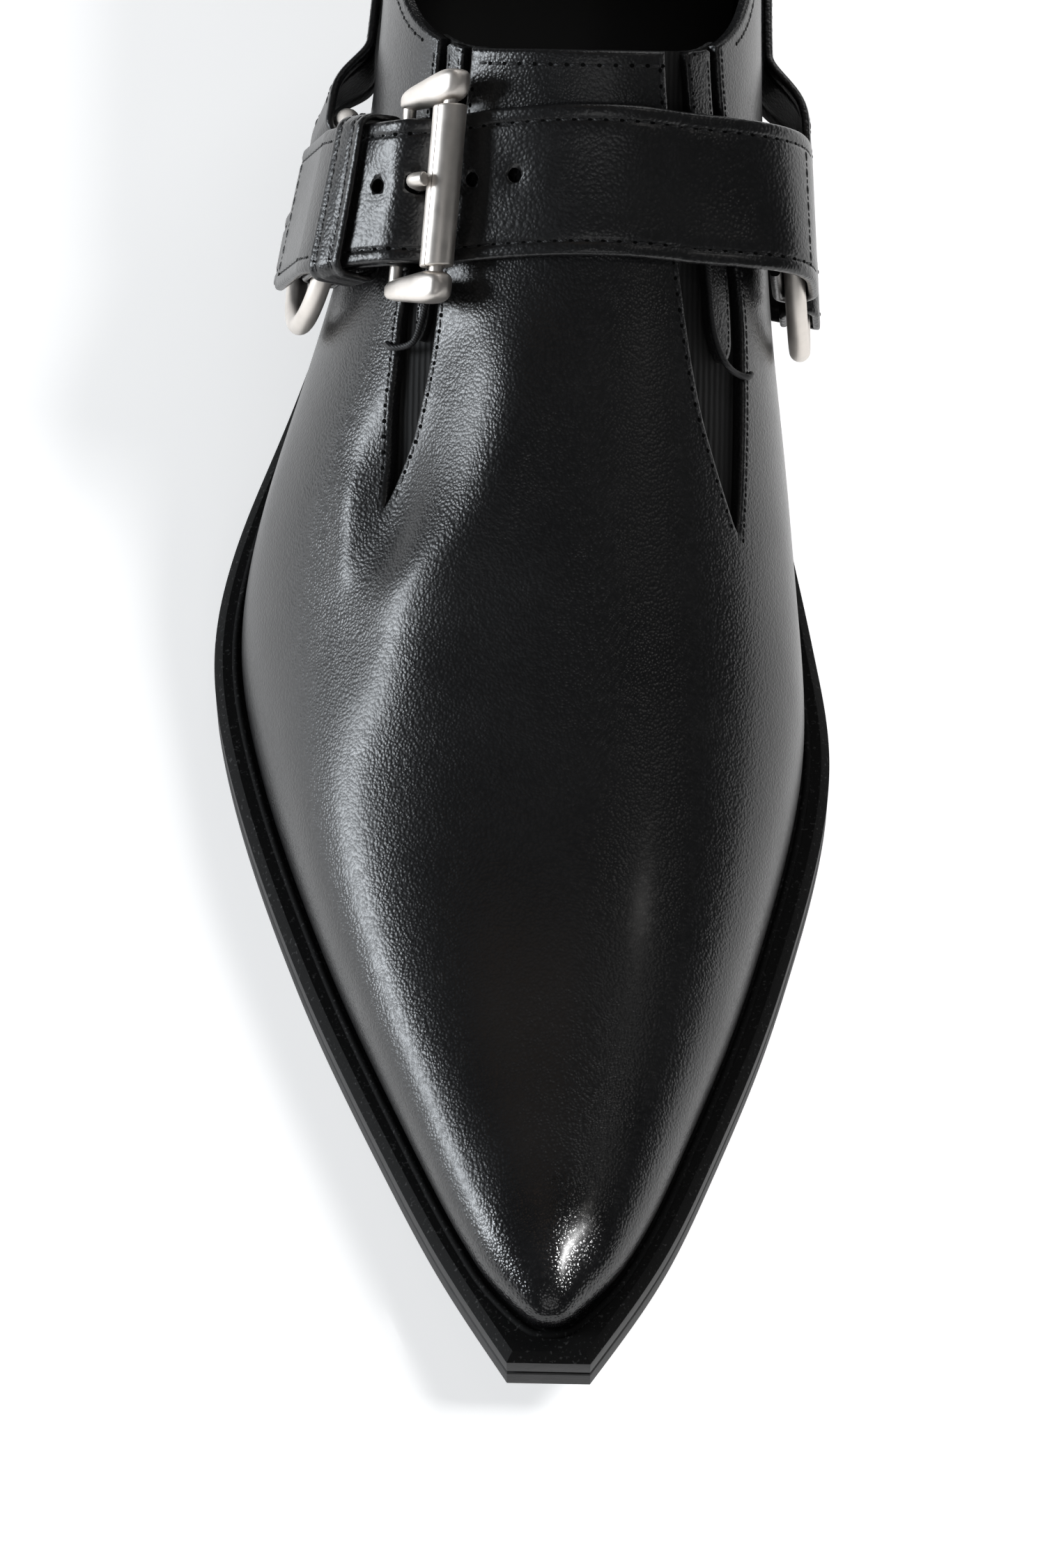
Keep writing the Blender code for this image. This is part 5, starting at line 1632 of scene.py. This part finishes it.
def add_rivets():
    """Domed rivets in the places of their solids."""
    turn, rise = around(28), np.linspace(0, math.pi / 2, 9)[:-1]
    index = ring_index(len(rise), len(turn))
    tip = len(rise) * len(turn)
    faces = grid_faces(index).tolist() + [index[0, :-1].tolist()]
    faces += [[int(a), int(b), tip] for a, b in zip(index[-1, :-1], index[-1, 1:])]
    for side in SIDES:
        for i in range(2):
            name = f"rivet_{SIDE_NAME[side]}_{i}"
            corners = np.array([vert.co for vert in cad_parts[name].data.vertices]) / MM - SHIFT
            centre = corners.mean(0)
            _, _, axes = np.linalg.svd(corners - centre)
            out = axes[2] * np.sign(axes[2] @ RINGS[side][1])
            foot = centre + out * ((corners - centre) @ out).min()
            ring = np.cos(turn)[:, None] * axes[0] + np.sin(turn)[:, None] * axes[1]
            rows = [foot + RIVET_RADIUS * math.cos(t) * ring + RIVET_TALL * math.sin(t) * out for t in rise]
            points = np.concatenate(rows + [[foot + RIVET_TALL * out]])
            add_piece("nickel_" + name, (points, faces), NICKEL, "nickel", name)


# Sole
def sole_loft(levels):
    """Closed solid through the sole's outline at several margins and heights, from below up."""
    lows, highs = [], []
    for margin, lift in levels:
        s, close = run_stations(margin, SOLE_LENGTH - margin, HEEL_ROUND, 0, 30, 200, 0)
        lows.append(place(-half_width(OUTER, s, margin) * close, s, sole_rise(s) + lift))
        highs.append(place(half_width(INNER, s, margin) * close, s, sole_rise(s) + lift))
    return loft(np.stack(lows), np.stack(highs))


def loft(lows, highs, across=3):
    """Closed solid from the two edges of stacked outlines [level][station]."""
    share = np.linspace(0, 1, across)[None, None, :, None]
    grid = lows[:, :, None] * (1 - share) + highs[:, :, None] * share
    levels, stations, columns = grid.shape[:3]
    index = np.arange(levels * stations * columns).reshape(levels, stations, columns)
    outside = (index[0], index[-1], index[:, :, 0], index[:, :, -1], index[:, 0], index[:, -1])
    faces = np.concatenate([grid_faces(part) for part in outside])
    used = np.unique(faces)
    renumber = np.zeros(index.size, int)
    renumber[used] = np.arange(len(used))
    return grid.reshape(-1, 3)[used], renumber[faces]


def rounded_edge(low, high, corner, groove):
    """Levels of a sole layer's edge: round below, groove line at its top."""
    turn = np.linspace(0, math.pi / 2, 5)
    levels = [(corner * (1 - math.sin(t)), low + corner * (1 - math.cos(t))) for t in turn]
    return levels + [(0.0, high - groove), (groove * 0.4, high - groove * 0.3), (groove, high)]


def add_outsole():
    """Rubber outsole with a round lower edge and a groove under the welt."""
    levels = rounded_edge(0.0, OUTSOLE_THICK, RIM_ROUND, EDGE_GROOVE)
    add_piece("sole_edge_rubber", sole_loft(levels), RUBBER, "sole", "outsole", sharp=30.0)


def add_welt():
    """Welt with a bevelled edge and a raised rib along the foot of the upper."""
    base = OUTSOLE_THICK + GAP
    top = base + WELT_THICK
    levels = [(EDGE_GROOVE, base), (0.12, base + 0.15), (0.0, base + EDGE_GROOVE), (0.0, top - WELT_BEVEL)]
    levels += [(0.12, top - WELT_BEVEL + 0.15), (WELT_BEVEL - 0.15, top - 0.12), (WELT_BEVEL, top)]
    obj = mesh_object("welt_edge", *sole_loft(levels), [WELT, RUBBER], sharp=30.0)
    for face in obj.data.polygons:
        if abs(face.normal.z) < WELT_SIDE:
            face.material_index = 1
    settle(obj, "welt", "welt")

    route = []
    for side in SIDES:
        s, close = run_stations(UPPER_BACK - RIB_INSET, UPPER_TIP + RIB_INSET, HEEL_ROUND, TOE_ROUND,
                                24, 160, 40, TOE_BLUNT)
        width = half_width(side, s, welt_margin(s) - RIB_INSET) * close
        route.append(place(side * width, s, seat_z(s) - RIB_SINK))
    path = np.concatenate([route[0], route[1][-2:0:-1]])
    add_piece("welt_rib", tube(path, RIB_TALL + RIB_SINK, 10, closed=True), WELT, "welt")


def heel_outline(drop, height, inset):
    """The two edges of the heel block at one level: drop is 0 under the sole and 1 at the floor."""
    back = SEAT_BACK + HEEL_UNDERCUT * drop ** 1.3 + inset
    breast = HEEL_BREAST - BREAST_LEAN * drop
    s, close = run_stations(back, breast, HEEL_ROUND * (1 - HEEL_TAPER * drop), 0, 30, 14, 0)
    top = sole_rise(np.linspace(SEAT_BACK, HEEL_BREAST, len(s))) - GAP
    foot = TOPLIFT_THICK + GAP
    z = top + (foot - top) * drop if height is None else np.full(len(s), height)
    edges = []
    for side in SIDES:
        width = half_width(side, np.minimum(s, HEEL_BREAST), HEEL_MARGIN) - inset
        edges.append(place(side * (width * (1 - HEEL_TAPER * drop)) * close, s, z))
    return edges


def heel_loft(levels):
    """Closed block through its outlines: each level is a drop, a height or none, and an inset."""
    edges = [heel_outline(*row) for row in levels]
    return loft(*(np.stack([pair[i] for pair in edges]) for i in (0, 1)))


def add_heel():
    """Stacked layers with fine lines between them, and the layer that wears."""
    levels = []
    for i in range(HEEL_LAYERS):
        low, high = 1 - i / HEEL_LAYERS, 1 - (i + 1) / HEEL_LAYERS
        levels.append((low, None, LAYER_GROOVE))
        levels += [(drop, None, 0.0) for drop in (low - LAYER_LIP, (low + high) / 2, high + LAYER_LIP)]
    levels.append((0.0, None, LAYER_GROOVE))
    add_piece("heel_layers", heel_loft(levels), HEEL, "heel", "heel_stack", sharp=35.0)
    turn = np.linspace(0, math.pi / 2, 4)
    levels = [(1.0, RIM_ROUND * (1 - math.cos(t)), RIM_ROUND * (1 - math.sin(t))) for t in turn]
    base = TOPLIFT_THICK - RIM_ROUND
    levels += [(1.0, base + RIM_ROUND * math.sin(t), RIM_ROUND * (1 - math.cos(t))) for t in turn]
    add_piece("heel_toplift_rubber", heel_loft(levels), RUBBER, "sole", "heel_toplift", sharp=35.0)


def add_insole():
    """Lined insole on the welt, inside the upper."""
    inset = WALL + 2 * GAP
    lows, highs = [], []
    top = GAP + INSOLE_THICK
    for lift, margin in ((GAP, inset), (top - 0.5, inset), (top, inset + 0.6)):
        s, close = run_stations(UPPER_BACK + margin, UPPER_TIP - margin, HEEL_ROUND, TOE_ROUND, 20, 90, 10)
        for side, edges in ((OUTER, lows), (INNER, highs)):
            width = half_width(side, s, welt_margin(s) + margin) * close
            edges.append(place(side * width, s, seat_z(s) + lift))
    add_piece("insole_lining", loft(np.stack(lows), np.stack(highs), 9), LINING, "lining", "insole")


add_outsole()
add_welt()
add_heel()
add_insole()
add_upper()
add_stitches("stitches_upper", upper_seams())
for side_now in SIDES:
    add_elastic(side_now)
    add_tab(side_now)
    add_tab_cord(side_now)
add_instep_strap()
add_billet()
add_keeper()
add_rings()
add_buckle_frame()
add_buckle_roller()
add_buckle_prong()
add_heel_strap()
for side_now in SIDES:
    add_arch_strap(side_now)
add_rivets()


# Stage: white floor, softboxes and the photograph's camera
EYE = (11.59, -542.82, 810.56)
EYE_TILT, EYE_TURN = 32.0, 1.24
SENSOR, LENS = 36.0, 128.0
FLOOR_HALF = 6.0
FLOOR_GLOW = 0.48
AIM = (0.0, 0.0, 0.04)
GLINT_POWER, GLINT_CONE, GLINT_SOURCE = 15.0, 1.15, 0.004
GLINT_FROM = (83.0, 56.0, 0.6)


def add_floor():
    """Sheet of white paper under the shoe."""
    mesh = bpy.data.meshes.new("floor")
    corners = [(FLOOR_HALF * x, FLOOR_HALF * y, 0) for x, y in ((-1, -1), (1, -1), (1, 1), (-1, 1))]
    mesh.from_pydata(corners, [], [(0, 1, 2, 3)])
    paper = Finish("paper_floor", grey(0.90), 0.9, Specular_IOR_Level=0.1, Emission_Strength=FLOOR_GLOW,
                   Emission_Color=(1.0, 1.0, 1.0, 1.0))
    paper.mottle(paper.noise(4.0), (0.3, 0.89), (0.7, 0.91))
    mesh.materials.append(paper.material)
    floor = bpy.data.objects.new("floor", mesh)
    bpy.context.scene.collection.objects.link(floor)
    return floor


def stand_light(light, azimuth, elevation, distance, aim):
    """Object of a light that looks at a point: azimuth 0 is in front of the toe, 90 on the inner side."""
    obj = bpy.data.objects.new(light.name, light)
    a, e = math.radians(azimuth), math.radians(elevation)
    way = np.array([math.sin(a) * math.cos(e), -math.cos(a) * math.cos(e), math.sin(e)])
    right = unit(np.cross(UPWARD, way))
    turned = np.eye(4)
    turned[:3] = np.column_stack([right, np.cross(way, right), way, np.array(aim) + distance * way])
    obj.matrix_world = Matrix(turned.tolist())
    bpy.context.scene.collection.objects.link(obj)
    return obj


def add_softbox(name, azimuth, elevation, distance, size, power, colour=(1.0, 1.0, 1.0)):
    """Area light that looks at the middle of the shoe."""
    light = bpy.data.lights.new(name, "AREA")
    light.shape = "RECTANGLE"
    light.size, light.size_y = size
    light.energy = power
    light.color = colour
    return stand_light(light, azimuth, elevation, distance, AIM)


def add_toe_glint():
    """Spot with a cone so narrow that only the tip of the toe mirrors it."""
    light = bpy.data.lights.new("toe_glint", "SPOT")
    light.energy = GLINT_POWER
    light.spot_size = math.radians(GLINT_CONE)
    light.spot_blend = 1.0
    light.shadow_soft_size = GLINT_SOURCE
    return stand_light(light, *GLINT_FROM, tuple(GLINT_SPOT * MM))


def add_lights(floor):
    """Softboxes round the shoe, a wash for the floor alone and a dim sky."""
    add_softbox("key_left", -86.0, 18.0, 1.3, (0.5, 0.40), 13.0, (0.90, 0.95, 1.0))
    add_softbox("right_spot", 86.0, 58.0, 1.5, (0.14, 0.14), 0.6, (1.0, 0.97, 0.94))
    add_toe_glint()
    add_softbox("front_card", 4.0, 38.0, 1.5, (0.6, 0.40), 1.2)
    add_softbox("back_right", 155.0, 38.0, 1.8, (1.0, 0.8), 5.0)
    add_softbox("warm_ceiling", -150.0, 80.0, 2.0, (0.5, 0.5), 0.3, (1.0, 0.72, 0.52))
    wash = add_softbox("floor_wash", 82.0, 52.0, 1.6, (0.5, 0.5), 15.0)
    washed = bpy.data.collections.new("washed_floor")
    washed.objects.link(floor)
    wash.light_linking.receiver_collection = washed
    world = bpy.data.worlds.new("studio")
    world.use_nodes = True
    sky = world.node_tree.nodes["Background"].inputs
    sky["Color"].default_value = (0.9, 0.95, 1.0, 1.0)
    sky["Strength"].default_value = 0.06
    bpy.context.scene.world = world


def add_camera():
    """The photograph's camera."""
    data = bpy.data.cameras.new("camera")
    data.sensor_width = SENSOR
    data.lens = LENS
    camera = bpy.data.objects.new("camera", data)
    camera.location = tuple(np.array(EYE) * MM)
    camera.rotation_euler = (math.radians(EYE_TILT), 0.0, math.radians(EYE_TURN))
    bpy.context.scene.collection.objects.link(camera)
    bpy.context.scene.camera = camera


add_lights(add_floor())
add_camera()
bpy.context.scene.view_settings.view_transform = "Standard"

bpy.context.view_layer.update()
